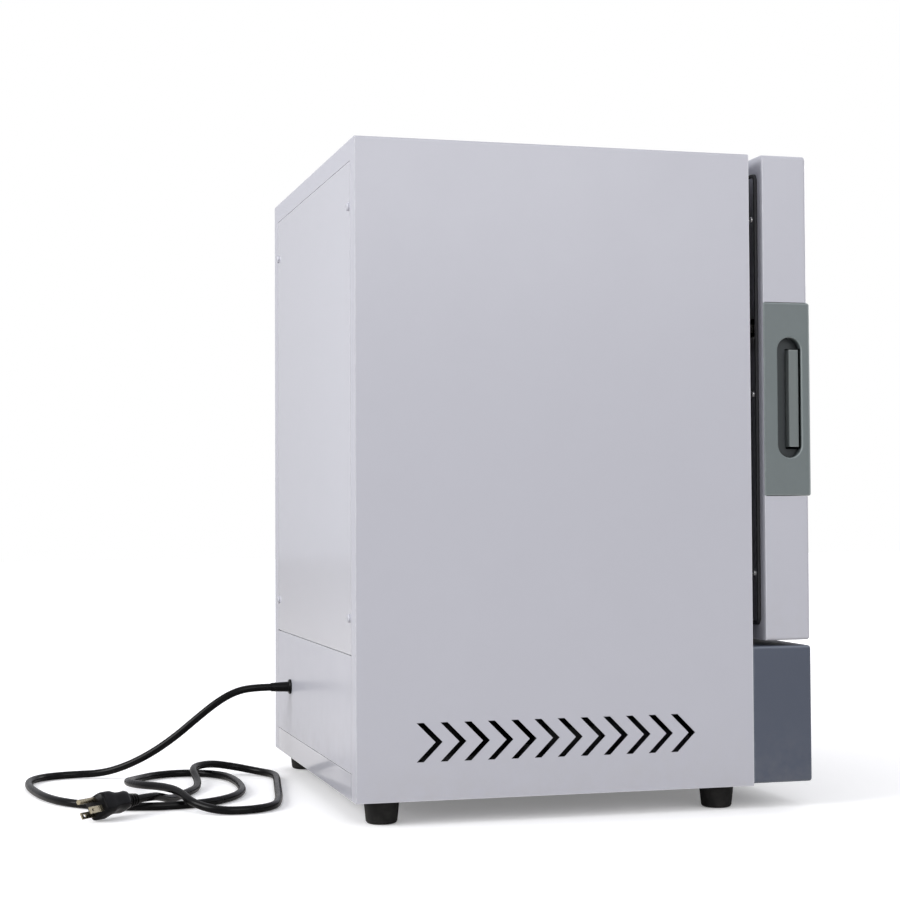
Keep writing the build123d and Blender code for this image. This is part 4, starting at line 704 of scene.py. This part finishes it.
def baked(piece: bpy.types.Object) -> bpy.types.Mesh:
    """The mesh that an object's own settings give, as a copy."""
    bpy.context.view_layer.update()
    graph = bpy.context.evaluated_depsgraph_get()
    return bpy.data.meshes.new_from_object(piece.evaluated_get(graph))


def rounded(x: float, z: float, half_w: float, half_h: float, radius: float) -> list[Pair]:
    """The outline of a rectangle with round corners.

    Args:
        x: Its middle.
        z: Its middle's height.
        half_w: Half its width.
        half_h: Half its height.
        radius: The corners' radius.

    Returns:
        The outline's points in order.
    """
    points, steps = [], 6
    right, left, over, under = (x + half_w - radius, x - half_w + radius,
                                z + half_h - radius, z - half_h + radius)
    for corner, (cx, cz) in enumerate(((right, over), (left, over), (left, under), (right, under))):
        for step in range(steps + 1):
            angle = math.radians(90 * corner + 90 * step / steps)
            points.append((cx + radius * math.cos(angle), cz + radius * math.sin(angle)))
    return points


def tilted(pivot: Vector, angle: float) -> Matrix:
    """A turn by an angle in radians about the line along X through a point."""
    return Matrix.Translation(pivot) @ Matrix.Rotation(angle, 4, "X") @ Matrix.Translation(-pivot)


def ring(z: float, *radii: float) -> list[list[Pair]]:
    """The outlines of circles round one middle."""
    return [rounded(0.0, z, radius, radius, radius - 0.01) for radius in radii]


def moved(outlines: Iterable[Sequence[Pair]], x: float) -> list[list[Pair]]:
    """Outlines carried along X, and up to the middle of the controls."""
    return [[(x + a, CONTROLS_Z + b) for a, b in outline] for outline in outlines]


def cut_sheet(outlines: Iterable[Sequence[Pair]], front_y: float,
              thickness: float) -> bpy.types.Mesh:
    """A flat plate that faces the front, with the inner outlines as holes, in millimetres.

    Args:
        outlines: Closed outlines in x and z.
        front_y: Where its front face lies.
        thickness: Its thickness.

    Returns:
        The mesh.
    """
    curve = bpy.data.curves.new("sheet", "CURVE")
    curve.dimensions = "2D"
    curve.fill_mode = "BOTH"
    curve.extrude = thickness / 2
    for outline in outlines:
        spline = curve.splines.new("POLY")
        spline.points.add(len(outline) - 1)
        for point, (x, z) in zip(spline.points, outline):
            point.co = (x, z, 0.0, 1.0)
        spline.use_cyclic_u = True
    carrier = bpy.data.objects.new("sheet", curve)
    bpy.context.scene.collection.objects.link(carrier)
    mesh = baked(carrier)
    bpy.data.objects.remove(carrier)
    bpy.data.curves.remove(curve)
    turn = Matrix.Rotation(math.radians(90), 4, "X")
    mesh.transform(Matrix.Translation((0, front_y + thickness / 2, 0)) @ turn)
    return mesh


@dataclass
class Assembly:
    """A sub-assembly, which is made in the paint shop's finishes."""

    shop: PaintShop


@dataclass
class Studio(Assembly):
    """The camera, the plain floor and the soft lights."""

    eye: Triple = (-1908.1, 595.5, 293.9)
    forward: Triple = (0.96491903, -0.26067025, 0.03134134)
    upward: Triple = (-0.03145415, 0.00374003, 0.9994982)
    lens: float = 74.62
    sensor: float = 36.0
    clip: Pair = (0.05, 60.0)
    floor_half: float = 9000.0
    floor_drop: float = 0.4
    bounce: Triple = (200, 197, 193)       # the floor's tone for the light that it throws back
    room: Triple = (250, 250, 255)
    # From where to where, metres out for the floor and upwards for the room, and the glow there.
    floor_glow: Sequence[float] = (0.3, 2.2, 0.2, 0.6)
    room_glow: Sequence[float] = (-0.1, 1.0, 0.5, 0.7)
    # Each lamp's place and aim in metres, its width and height, and its watts.
    lamps: Sequence[tuple[str, Triple, Triple, Pair, float]] = (
        ("rear_window", (-0.5, 3.2, 1.8), (0.0, 0.25, 0.45), (2.2, 2.0), 96.0),
        ("side_window", (-3.0, -0.3, 1.8), (0.0, 0.0, 0.45), (2.6, 2.0), 37.0),
        ("overhead", (-0.2, 0.3, 3.0), (0.0, 0.2, 0.0), (3.0, 3.0), 6.0),
        ("front_fill", (1.3, -2.8, 1.5), (0.0, -0.2, 0.35), (1.8, 1.6), 28.0),
    )

    def camera(self) -> None:
        """Stand the camera where the photograph was taken."""
        data = bpy.data.cameras.new("camera")
        data.lens, data.sensor_width, data.sensor_fit = self.lens, self.sensor, "HORIZONTAL"
        data.clip_start, data.clip_end = self.clip
        camera = bpy.data.objects.new("camera", data)
        back = -Vector(self.forward).normalized()
        up = Vector(self.upward).normalized()
        right = up.cross(back).normalized()
        camera.matrix_world = Matrix.Translation(Vector(self.eye) * MM) @ Matrix(
            (right, back.cross(right), back)).transposed().to_4x4()
        bpy.context.scene.collection.objects.link(camera)
        bpy.context.scene.camera = camera

    def light_far_paper(self, paper: bpy.types.Material) -> None:
        """Run the floor into the white backdrop, and keep its light on the oven low.

        Args:
            paper: The floor's material.
        """
        board = Board(paper.node_tree)
        inputs = board.find("BSDF_PRINCIPLED").inputs
        base = inputs["Base Color"].links[0].from_socket
        inputs["Emission Color"].default_value = WHITE
        spot = board.add("ShaderNodeTexCoord").outputs["Object"]
        away = board.add("ShaderNodeVectorMath", {0: spot}, operation="LENGTH")
        glow = board.ramp(away.outputs["Value"], *self.floor_glow)
        seen = board.add("ShaderNodeLightPath").outputs["Is Camera Ray"]
        board.feed(inputs["Emission Strength"], board.calc("MULTIPLY", glow, seen))
        board.feed(inputs["Base Color"], board.blend(seen, linear(self.bounce), base))

    def floor(self) -> None:
        """Lay the floor just under the feet."""
        mesh = bmesh.new()
        bmesh.ops.create_grid(mesh, x_segments=1, y_segments=1, size=self.floor_half * MM,
                              matrix=Matrix.Translation((0, 0, -self.floor_drop * MM)))
        floor = cast(mesh, "studio_floor")
        bpy.context.scene.collection.objects.link(floor)
        paper = self.shop.material(STUDIO_FLOOR, "plain", None)
        self.light_far_paper(paper)
        floor.data.materials.append(paper)

    def backdrop(self) -> None:
        """Surround the oven with pale light, and show the camera plain white."""
        world = bpy.data.worlds.new("white_room")
        world.use_nodes = True
        board = Board(world.node_tree)
        room = board.find("BACKGROUND")
        room.inputs["Color"].default_value = (*linear(self.room), 1.0)
        height = board.split(board.add("ShaderNodeTexCoord").outputs["Generated"])[2]
        board.feed(room.inputs["Strength"], board.ramp(height, *self.room_glow))
        white = board.add("ShaderNodeBackground", {"Color": WHITE})
        seen = board.add("ShaderNodeMixShader", {
            0: board.add("ShaderNodeLightPath").outputs["Is Camera Ray"], 1: room.outputs[0],
            2: white.outputs[0]})
        board.feed(board.find("OUTPUT_WORLD").inputs["Surface"], seen.outputs[0])
        bpy.context.scene.world = world

    def build(self) -> None:
        """Lay the floor, set the backdrop and hang the lamps."""
        self.floor()
        self.backdrop()
        for name, spot, aim, size, power in self.lamps:
            data = bpy.data.lights.new(name, "AREA")
            data.shape, data.energy = "RECTANGLE", power
            data.size, data.size_y = size
            lamp = bpy.data.objects.new(name, data)
            lamp.location = spot
            lamp.rotation_euler = (Vector(aim) - Vector(spot)).to_track_quat("-Z", "Y").to_euler()
            bpy.context.scene.collection.objects.link(lamp)
        bpy.context.scene.view_settings.view_transform = "Standard"


@dataclass
class MainsLead(Assembly):
    """The lead: out of the bushing, down to the floor, in loose loops to the plug."""

    radius: float = 4.0
    length: float = 1830.0
    round_steps: int = 6
    run_steps: int = 10
    # Each point's x, its distance behind the cabinet's front and its height.
    points: Sequence[Triple] = (
        (120, 419, 99.5), (120, 437, 99.5), (121, 456, 96.5), (124, 475, 86.5), (128, 497, 69),
        (135, 522, 47), (146, 548, 28), (161, 573, 14), (176, 597, 5.5), (186, 627, 4),
        (178, 656, 4), (153, 675, 4), (115, 678, 4), (74, 674, 4), (30, 665, 4), (-9, 649, 4),
        (-37, 622, 4),
        (-56, 590, 4), (-64, 552, 4), (-53, 511, 4), (-25, 482, 4), (14, 466, 4), (58, 462, 4),
        (97, 463, 4), (130, 468, 4), (155, 487, 4), (164, 515, 4), (154, 543, 4), (130, 561, 4.5),
        (94, 573, 8), (50, 582, 13), (8, 572.5, 15.5), (-22.5, 553.5, 17.5), (-53, 540, 17),
        (-86, 530.5, 9), (-107, 508, 4), (-110, 477, 4), (-92, 451, 4), (-54, 440.5, 4),
        (-6, 432.5, 4), (42, 425.5, 4), (88, 418, 4), (123.5, 414, 4), (149, 426.5, 4),
        (162.5, 451, 8.5), (158.5, 479, 14), (140, 499.5, 14), (112, 505.5, 13), (82, 504, 7.5),
        (54, 508, 4), (30, 517, 4), (5, 531, 4), (-20.5, 544, 4), (-45.5, 558, 11), (-62, 568, 14),
        (-75, 583, 14),
    )

    def route(self) -> list[Vector]:
        """The route's points in millimetres of the row frame."""
        return [Vector((x, FRONT + y, z)) for x, y, z in self.points]

    def build(self, plug: bpy.types.Object) -> None:
        """Args:
            plug: The plug's body; it is not used.
        """
        curve = bpy.data.curves.new("mains_lead", "CURVE")
        curve.dimensions = "3D"
        curve.bevel_depth = self.radius * MM
        curve.bevel_resolution = self.round_steps
        curve.resolution_u = self.run_steps
        curve.use_fill_caps = True
        spline = curve.splines.new("NURBS")
        route = self.route()
        spline.points.add(len(route) - 1)
        for point, spot in zip(spline.points, route):
            point.co = (*(spot * MM), 1.0)
        spline.order_u = 3
        spline.use_endpoint_u = True
        lead = self.shop.settle(bpy.data.objects.new("mains_lead", curve), CORD_RUBBER, "cabinet",
                                ["power_cord"])


@dataclass
class PlugGrip(Assembly):
    """The moulded plug: a ribbed relief, a grip with flutes and a flat face."""

    relief: float = 17.0
    body: float = 38.0
    width: float = 25.0
    height: float = 22.0
    cord_radius: float = 4.0
    ribs: int = 4
    rib_start: float = 1.6
    rib_pitch: float = 3.8
    rib_core: float = 0.9                  # how much thicker than the lead the first rib starts
    rib_growth: float = 0.45               # how much thicker each rib is than the last
    roll: float = 30.0
    sides: int = 40

    @staticmethod
    def section(half_w: float, half_h: float, square: float, angle: float) -> Pair:
        """A point on a cross-section between a circle and a rectangle.

        Args:
            half_w: Half the width.
            half_h: Half the height.
            square: 2 for an ellipse, more for a squarer form.
            angle: Where round the section, in radians.

        Returns:
            The point across the plug's axis.
        """
        c, s = math.cos(angle), math.sin(angle)
        reach = (abs(c) ** square + abs(s) ** square) ** (-1 / square)
        return half_w * reach * c, half_h * reach * s

    def stations(self) -> list[tuple[float, float, float, float]]:
        """List the cross-sections along the plug.

        Returns:
            Each one's distance from the lead's end, half sizes and squareness.
        """
        slim = self.cord_radius
        ribs = [(0.0, slim + 0.35, slim + 0.35, 2.0), (0.3, slim + 0.8, slim + 0.8, 2.0)]
        # Along each rib: the distance on, and how far it swells.
        profile = ((0.0, 0.0), (0.35, 0.9), (1.7, 1.0), (2.1, 0.1))
        for n in range(self.ribs):
            core = slim + self.rib_core + n * self.rib_growth
            for step, swell in profile:
                ribs.append((self.rib_start + n * self.rib_pitch + step, core + swell, core + swell,
                             2.0))
        # Past the relief: the distance on, what the half width and half height lack, squareness.
        grip = ((0.0, 4.2, 3.8, 2.6), (1.4, 2.4, 2.4, 3.2), (5.0, 1.6, 1.8, 3.6),
                (11.0, 1.2, 2.6, 4.0), (18.0, 0.9, 2.4, 4.2), (24.0, 0.3, 0.5, 4.6),
                (25.5, 0.0, 0.0, 4.8), (self.body - 2.6, 0.0, 0.0, 4.8),
                (self.body - 0.8, 0.25, 0.25, 4.8), (self.body, 1.1, 1.1, 4.6))
        return ribs + [(self.relief + on, self.width / 2 - less_w, self.height / 2 - less_h, square)
                       for on, less_w, less_h, square in grip]

    def build(self, route: Sequence[Vector]) -> bpy.types.Object:
        """Extrude the plug section by section along its axis.

        Args:
            route: The lead's route, whose last run gives the axis.

        Returns:
            The plug's body.
        """
        axis = (route[-1] - route[-2]).normalized()
        across = Vector((0, 0, 1)).cross(axis).normalized()
        across.rotate(Matrix.Rotation(math.radians(self.roll), 3, axis))
        over = axis.cross(across)
        blank = Blank("plug_grip", self.shop)
        rim = bmesh.ops.create_circle(blank.mesh, cap_ends=False, segments=self.sides,
                                      radius=1.0)["verts"]
        angles = [math.atan2(vert.co.y, vert.co.x) for vert in rim]
        for number, (distance, half_w, half_h, square) in enumerate(self.stations()):
            if number:
                last = set(rim)
                edges = [e for e in {e for v in rim for e in v.link_edges} if set(e.verts) <= last]
                made = bmesh.ops.extrude_edge_only(blank.mesh, edges=edges)["geom"]
                partner = {other.index: v for v in made if isinstance(v, bmesh.types.BMVert)
                           for e in v.link_edges for other in (e.other_vert(v),) if other in last}
                rim = [partner[v.index] for v in rim]
            for vert, angle in zip(rim, angles):
                a, b = self.section(half_w, half_h, square, angle)
                vert.co = route[-1] + axis * distance + across * a + over * b
            blank.mesh.verts.index_update()
        bmesh.ops.holes_fill(blank.mesh, edges=[e for e in blank.mesh.edges if e.is_boundary],
                             sides=0)
        return blank.finish(CORD_RUBBER, "cabinet", ["plug_body"], smooth=50.0)


@dataclass
class ControlFace(Assembly):
    """What the control panel shows: display, keys' marks, film and switch legend."""

    display_x: float = -95.0
    display_w: float = 95.6
    display_h: float = 45.6
    cover: float = 1.2
    # Each row of digits: how far left of the display's middle and above it, and its height.
    digit_rows: Sequence[Triple] = ((-30.0, 6.0, 15.0), (-22.0, -14.5, 10.0))
    keys: Sequence[float] = (-12.0, 18.0, 48.0, 78.0)
    key_proud: float = 2.0
    mark_thick: float = 0.24
    switch_x: float = 150.0
    rocker_tilt: float = 7.0
    rocker_pivot: float = 4.0              # how deep the rocker's pivot lies
    rocker_rise: float = 6.6               # from the pivot to the rocker's faces
    rocker_slope: Pair = (1.5, 6.5)        # the rise and the run of the rocker's faces
    legend_z: float = 8.0                  # from the pivot to each mark's middle
    legend_thick: float = 0.3
    segment_thick: float = 0.3
    segment_gap: float = 1.2               # from the cover's back to the segments
    film_proud: float = 0.25
    film_thick: float = 0.27
    film_x: float = 13.0
    # Half the width, half the height and the corners of the film and of the holes in it.
    film: Triple = (173.0, 33.0, 6.0)
    display_hole: Triple = (48.6, 23.6, 3.2)
    key_hole: Triple = (10.8, 6.8, 3.4)
    switch_hole: Triple = (13.4, 18.4, 2.2)

    def plate(self, name: str, outlines: Iterable[Sequence[Pair]], front_y: float,
              thickness: float, finish: Finish, body: str = "cabinet") -> None:
        """Make a piece of one flat plate.

        Args:
            name: The piece's name.
            outlines: Closed outlines in x and z.
            front_y: Where its front face lies.
            thickness: Its thickness.
            finish: What it is made of.
            body: The body that it moves with.
        """
        blank = Blank(name, self.shop)
        blank.take(cut_sheet(outlines, front_y, thickness))
        blank.finish(finish, body)

    def build_display(self) -> None:
        """Make the smoked cover and the unlit segments behind it."""
        x, w, h = self.display_x, self.display_w / 2, self.display_h / 2
        back = PANEL_FRONT + self.cover
        blank = Blank("display_cover", self.shop)
        blank.block((x - w, PANEL_FRONT, CONTROLS_Z - h), (x + w, back, CONTROLS_Z + h), 0.35)
        blank.finish(SMOKED_GLASS, "cabinet", ["display_window"])
        bars = [bar for left, up, size in self.digit_rows for n in range(4)
                for bar in self.digit(x + left + n * size * 1.05, CONTROLS_Z + up, size)]
        self.plate("display_segments", bars, back + self.segment_gap, self.segment_thick,
                   UNLIT_SEGMENT)

    @staticmethod
    def digit(x: float, z: float, size: float) -> list[list[Pair]]:
        """The seven bars of one digit.

        Args:
            x: Its left side.
            z: Its middle.
            size: Its height.

        Returns:
            The outline of each bar.
        """
        w, half, t = size * 0.5, size / 2, size * 0.055

        def bar(start: float, end: float, level: float, side: float) -> list[Pair]:
            """One bar with pointed ends, from start to end along its own direction."""
            return [(start + t, level), (start + 2 * t, level + side), (end - 2 * t, level + side),
                    (end - t, level), (end - 2 * t, level - side), (start + 2 * t, level - side)]

        flat = [bar(x, x + w, level, -t) for level in (z + half, z, z - half)]
        upright = [[(b, a) for a, b in bar(low, low + half, side, t)]
                   for low in (z, z - half) for side in (x, x + w)]
        return flat + upright

    def build_marks(self) -> None:
        """Raise a plain symbol on each key: a ring, and arrows to the left, down and up."""
        shapes = (ring(0.0, 3.2, 2.3), [[(2.0, 3.0), (-3.2, 0.0), (2.0, -3.0)]],
                  [[(-3.2, 2.0), (0.0, -2.8), (3.2, 2.0)]],
                  [[(-3.2, -2.0), (3.2, -2.0), (0.0, 2.8)]])
        face = PANEL_FRONT - self.key_proud
        for number, (x, outlines) in enumerate(zip(self.keys, shapes), start=1):
            self.plate(f"key_mark_{number}", moved(outlines, x), face - self.mark_thick / 2,
                       self.mark_thick, DARK_INK, f"button_{number}")

    def build_film(self) -> None:
        """Lay the thin printed film round the display, the keys and the switch."""
        shapes = ((self.film_x, self.film), (self.display_x, self.display_hole),
                  *((x, self.key_hole) for x in self.keys), (self.switch_x, self.switch_hole))
        outlines = [rounded(x, CONTROLS_Z, *sizes) for x, sizes in shapes]
        self.plate("panel_film", outlines, PANEL_FRONT - self.film_proud, self.film_thick, FILM)

    def build_legend(self) -> None:
        """Put the stroke and the ring of an on-off switch on the two faces of its rocker."""
        depth = PANEL_FRONT + self.rocker_pivot
        pivot = Vector((self.switch_x, depth, CONTROLS_Z))
        turn = tilted(pivot, math.radians(self.rocker_tilt))
        blank = Blank("rocker_legend", self.shop)
        stroke = [[(-0.5, 6.0), (0.5, 6.0), (0.5, 10.0), (-0.5, 10.0)]]
        for outlines, lean in ((stroke, 1.0), (ring(-7.8, 2.2, 1.5), -1.0)):
            face = depth - self.rocker_rise
            sheet = cut_sheet(moved(outlines, self.switch_x), face - self.legend_thick / 2,
                              self.legend_thick)
            middle = Vector((self.switch_x, face, CONTROLS_Z + lean * self.legend_z))
            blank.take(sheet, turn @ tilted(middle, lean * math.atan2(*self.rocker_slope)))
        blank.finish(WHITE_INK, "rocker")

    def build(self) -> None:
        """Build everything on the control panel's face."""
        for step in (self.build_display, self.build_marks, self.build_film, self.build_legend):
            step()


@dataclass
class LatchSpring(Assembly):
    """The coiled return spring round the latch's shaft."""

    axis: Pair = (-192.0, FRONT - 47.0)
    low: float = BOTTOM + 428.6
    high: float = BOTTOM + 444.8
    coil_radius: float = 4.15
    wire: float = 0.55
    turns: int = 9
    turn_steps: int = 20
    wire_sides: int = 8

    def build(self) -> None:
        """Spin one ring of wire up the shaft."""
        blank = Blank("latch_return_spring", self.shop)
        x, y = self.axis
        start = (x + self.coil_radius, y, self.low + self.wire)
        place = Matrix.Translation(start) @ Matrix.Rotation(math.radians(90), 4, "X")
        wire = bmesh.ops.create_circle(blank.mesh, cap_ends=True, segments=self.wire_sides,
                                       radius=self.wire, matrix=place)["verts"]
        rise = self.high - self.low - 2 * self.wire
        steps = self.turns * self.turn_steps
        geom = [*wire, *{e for v in wire for e in v.link_edges},
                *{f for v in wire for f in v.link_faces}]
        bmesh.ops.spin(blank.mesh, geom=geom, cent=(x, y, 0), axis=(0, 0, 1),
                       dvec=(0, 0, rise / steps), angle=math.tau * self.turns, steps=steps,
                       use_duplicate=False)
        blank.finish(SPRING_STEEL, "door", ["latch_spring"], smooth=60.0)


@dataclass
class Dressing(Assembly):
    """Which finish each CAD node wears, and the painted shade and highlights on some."""

    wearers: Sequence[tuple[Finish, Sequence[str]]] = (
        # the lower rear panel wears the darker side enamel, not the rear one, as painted shade
        (ENAMEL, ("cabinet_shell", "door_shell", "front_frame", "rear_lower_panel")),
        (LIT_REAR_ENAMEL, ("base_pan", "rear_cover")),
        (SLATE, ("control_panel",)),
        (GREY_GRIP, ("handle_block",)),
        (GREY_PADDLE, ("latch_paddle",)),
        (LINER_STAINLESS, ("chamber_liner", "shelf_rails")),
        (UPRIGHT_STAINLESS, ("door_inner_panel",)),
        (STAINLESS, ("chamber_floor_plate", "fan_wheel", "vent_tube", "vent_damper",
                     "temperature_probe")),
        (SHELF_WIRE, ("shelf_lower", "shelf_upper")),
        (SEAL_RUBBER, ("chamber_gasket", "door_seal")),
        (FOOT_RUBBER, ("rubber_feet",)),
        (CORD_RUBBER, ("cord_bushing",)),
        (ZINC, ("base_deck",)),
        (MOTOR_ENAMEL, ("motor_bracket", "fan_motor")),
        (SHEATH, ("heating_element",)),
        (BRIGHT_ZINC, ("fan_shaft", "hinge_pins", "damper_pin", "latch_shaft")),
        (NICKEL, ("latch_hook", "striker", "hinge_cabinet_leaves", "hinge_door_leaves")),
        (WOOL, ("chamber_insulation", "insulation_base", "door_insulation")),
        (BLACK_TRIM, ("window_frame",)),
        (CLEAR_GLASS, ("window_panes",)),
        (BLACK_MOULDING, ("controller_module", "switch_housing")),
        (BLACK_GLOSS, ("switch_rocker",)),
        (BOARD_GREEN, ("keypad_board",)),
        (KEY_GREY, ("button_1", "button_2", "button_3", "button_4")),
        (EXTRUSION, ("heat_sink",)),
        (RELAY_CASE, ("relay",)),
        (TERMINAL_CREAM, ("terminal_block",)),
        (PLATED_BRASS, ("plug_pins",)),
    )
    # painted shade on deep faces: near black within the cabinet so the vents look dark, and in the
    # hollows of the handle block and control panel, with a painted highlight on their rims
    painted_shades_and_highlights: dict[str, PaintedShadeAndHighlight] = field(default_factory=lambda: {
        **dict.fromkeys(("cabinet_shell", "base_pan", "rear_lower_panel"),
                        PaintedShadeAndHighlight((34, 34, 36), 0.6, 0.7)),
        "handle_block": PaintedShadeAndHighlight((50, 56, 58), 1.0, 8.0, (150, 159, 159)),
        "control_panel": PaintedShadeAndHighlight((50, 53, 60), 1.2, 2.0, (122, 129, 140)),
    })

    def build(self) -> None:
        """Give every CAD node its finish."""
        for finish, nodes in self.wearers:
            for node in nodes:
                self.shop.dress(node, finish, self.painted_shades_and_highlights.get(node))
                log.info("%s wears %s", node, finish.name)


@dataclass(frozen=True)
class Screw:
    """A pan-head screw's sizes."""

    radius: float
    height: float
    shank: Pair | None = None      # its radius and length, where it is made


@dataclass
class ScrewWork(Assembly):
    """Every screw that shows, or that shows once the door is open."""

    cover_x: float = 191.0
    cover_z: Pair = (169.5, 557.0)
    door_x: Pair = (-197.1, 180.1)
    door_z: Triple = (206.5, 384.0, 558.0)
    foot_x: float = 193.0
    foot_inset: float = 29.5
    foot_z: float = 15.0
    hinge_x: float = 200.5
    hinge_z: Pair = (230.0, 530.0)
    hinge_half: float = 20.0
    striker_x: float = -182.6
    striker_z: float = 450.0
    striker_half: float = 14.5
    head_sides: int = 36
    shank_sides: int = 20
    shank_round: float = 0.3
    dome: float = 0.72             # the share of a head's height that is rounded
    cross_width: float = 0.22      # as a share of the head's radius
    cross_z: float = 0.98          # the middle of its cutter, as a share of the head's height
    cross_taper: float = 0.55      # how far the cutter narrows to its tip
    first_spin: float = 17.0       # how far the row's first cross is turned, in degrees
    next_spin: float = 41.0        # and how much further each next one
    heads: dict[Pair, bpy.types.Mesh] = field(default_factory=dict)

    def head(self, radius: float, height: float) -> bpy.types.Mesh:
        """One screw head, its underside on Z = 0, with the cross cut into its top.

        Args:
            radius: The head's radius.
            height: The head's height.

        Returns:
            The head's mesh, in millimetres.
        """
        if (radius, height) in self.heads:
            return self.heads[(radius, height)]
        body = bmesh.new()
        bmesh.ops.create_cone(body, cap_ends=True, segments=self.head_sides, radius1=radius,
                              radius2=radius, depth=height,
                              matrix=Matrix.Translation((0, 0, height / 2)))
        rim = [e for e in body.edges if all(v.co.z > height / 2 for v in e.verts)]
        round_off(body, rim, height * self.dome, 5)
        cross = bmesh.new()
        middle = Matrix.Translation((0, 0, height * self.cross_z))
        for wide, deep in ((1.0, self.cross_width), (self.cross_width, 1.0)):
            size = (radius * wide, radius * deep, height, 1.0)
            made = bmesh.ops.create_cube(cross, size=1.0, matrix=middle @ Matrix.Diagonal(size))
            for vert in made["verts"]:
                if vert.co.z < height:
                    vert.co.xy *= self.cross_taper
        parts = []
        for label, mesh in (("screw_blank", body), ("cross_cutter", cross)):
            parts.append(cast(mesh, label))
            bpy.context.scene.collection.objects.link(parts[-1])
        cut = parts[0].modifiers.new("cross", "BOOLEAN")
        cut.object, cut.operation, cut.solver, cut.use_self = parts[1], "DIFFERENCE", "EXACT", True
        self.heads[(radius, height)] = baked(parts[0])
        for part in parts:
            bpy.data.objects.remove(part)
        return self.heads[(radius, height)]

    def row(self, name: str, body: str, screw: Screw, outward: Triple, spots: Sequence[Triple],
            finish: Finish = BRIGHT_ZINC, replaces: Sequence[str] = ()) -> None:
        """Set a row of screws as one piece, each turned a little differently.

        Args:
            name: The piece's name.
            body: The body that they move with.
            screw: Their sizes.
            outward: The way that the heads point.
            spots: Where the undersides of the heads lie.
            finish: What they are made of.
            replaces: The CAD nodes that they stand for.
        """
        blank = Blank(name, self.shop)
        way = Vector(outward)
        turn = Vector((0, 0, 1)).rotation_difference(way).to_matrix().to_4x4()
        for number, spot in enumerate(spots):
            degrees = self.first_spin + self.next_spin * number
            spin = Matrix.Rotation(math.radians(degrees), 4, "Z")
            blank.take(self.head(screw.radius, screw.height),
                       Matrix.Translation(spot) @ turn @ spin)
            if screw.shank:
                start, (radius, length) = Vector(spot), screw.shank
                blank.rod(start, start - way * length, radius, self.shank_round, self.shank_sides)
        blank.finish(finish, body, replaces)

    def build(self) -> None:
        """Set the rear, door, foot, hinge and striker screws."""
        rearward, frontward, down = (0, 1, 0), (0, -1, 0), (0, 0, -1)
        leaf = Screw(3.4, 0.9)
        hinge_z = [BOTTOM + z + dz for z in self.hinge_z
                   for dz in (-self.hinge_half, self.hinge_half)]
        self.row("rear_cover_screw_set", "cabinet", Screw(4.0, 2.4, (1.8, 9.0)), rearward,
                 [(x, REAR, BOTTOM + z) for x in (-self.cover_x, self.cover_x)
                  for z in self.cover_z], ENAMEL, ["rear_cover_screws"])
        self.row("door_panel_screw_set", "door", Screw(3.2, 1.8, (1.6, 9.0)), rearward,
                 [(x, INNER_PANEL, BOTTOM + z) for x in self.door_x for z in self.door_z],
                 replaces=["door_panel_screws"])
        self.row("foot_screw_set", "cabinet", Screw(5.0, 3.0, (2.5, 13.0)), down,
                 [(x, y, self.foot_z) for x in (-self.foot_x, self.foot_x)
                  for y in (FRONT + self.foot_inset, REAR - self.foot_inset)],
                 replaces=["foot_screws"])
        self.row("hinge_screws_cabinet", "cabinet", leaf, frontward,
                 [(self.hinge_x, FRONT - LEAF, z) for z in hinge_z])
        self.row("hinge_screws_door", "door", leaf, rearward,
                 [(self.hinge_x, DOOR_REAR + LEAF, z) for z in hinge_z])
        self.row("striker_screws", "cabinet", Screw(2.6, 0.9), frontward,
                 [(self.striker_x, FRONT - LEAF, BOTTOM + self.striker_z + dz)
                  for dz in (-self.striker_half, self.striker_half)])


def main() -> None:
    """Load the frame and build every sub-assembly in order."""
    logging.basicConfig(level=logging.INFO, format="%(message)s")
    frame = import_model()
    shop = PaintShop(frame["nodes"])
    studio = Studio(shop)
    studio.camera()
    lead = MainsLead(shop)
    lead.build(PlugGrip(shop).build(lead.route()))
    for assembly in (Dressing(shop), ScrewWork(shop), ControlFace(shop), LatchSpring(shop), studio):
        assembly.build()
    log.info("finishing")


if __name__ == "__main__":
    main()
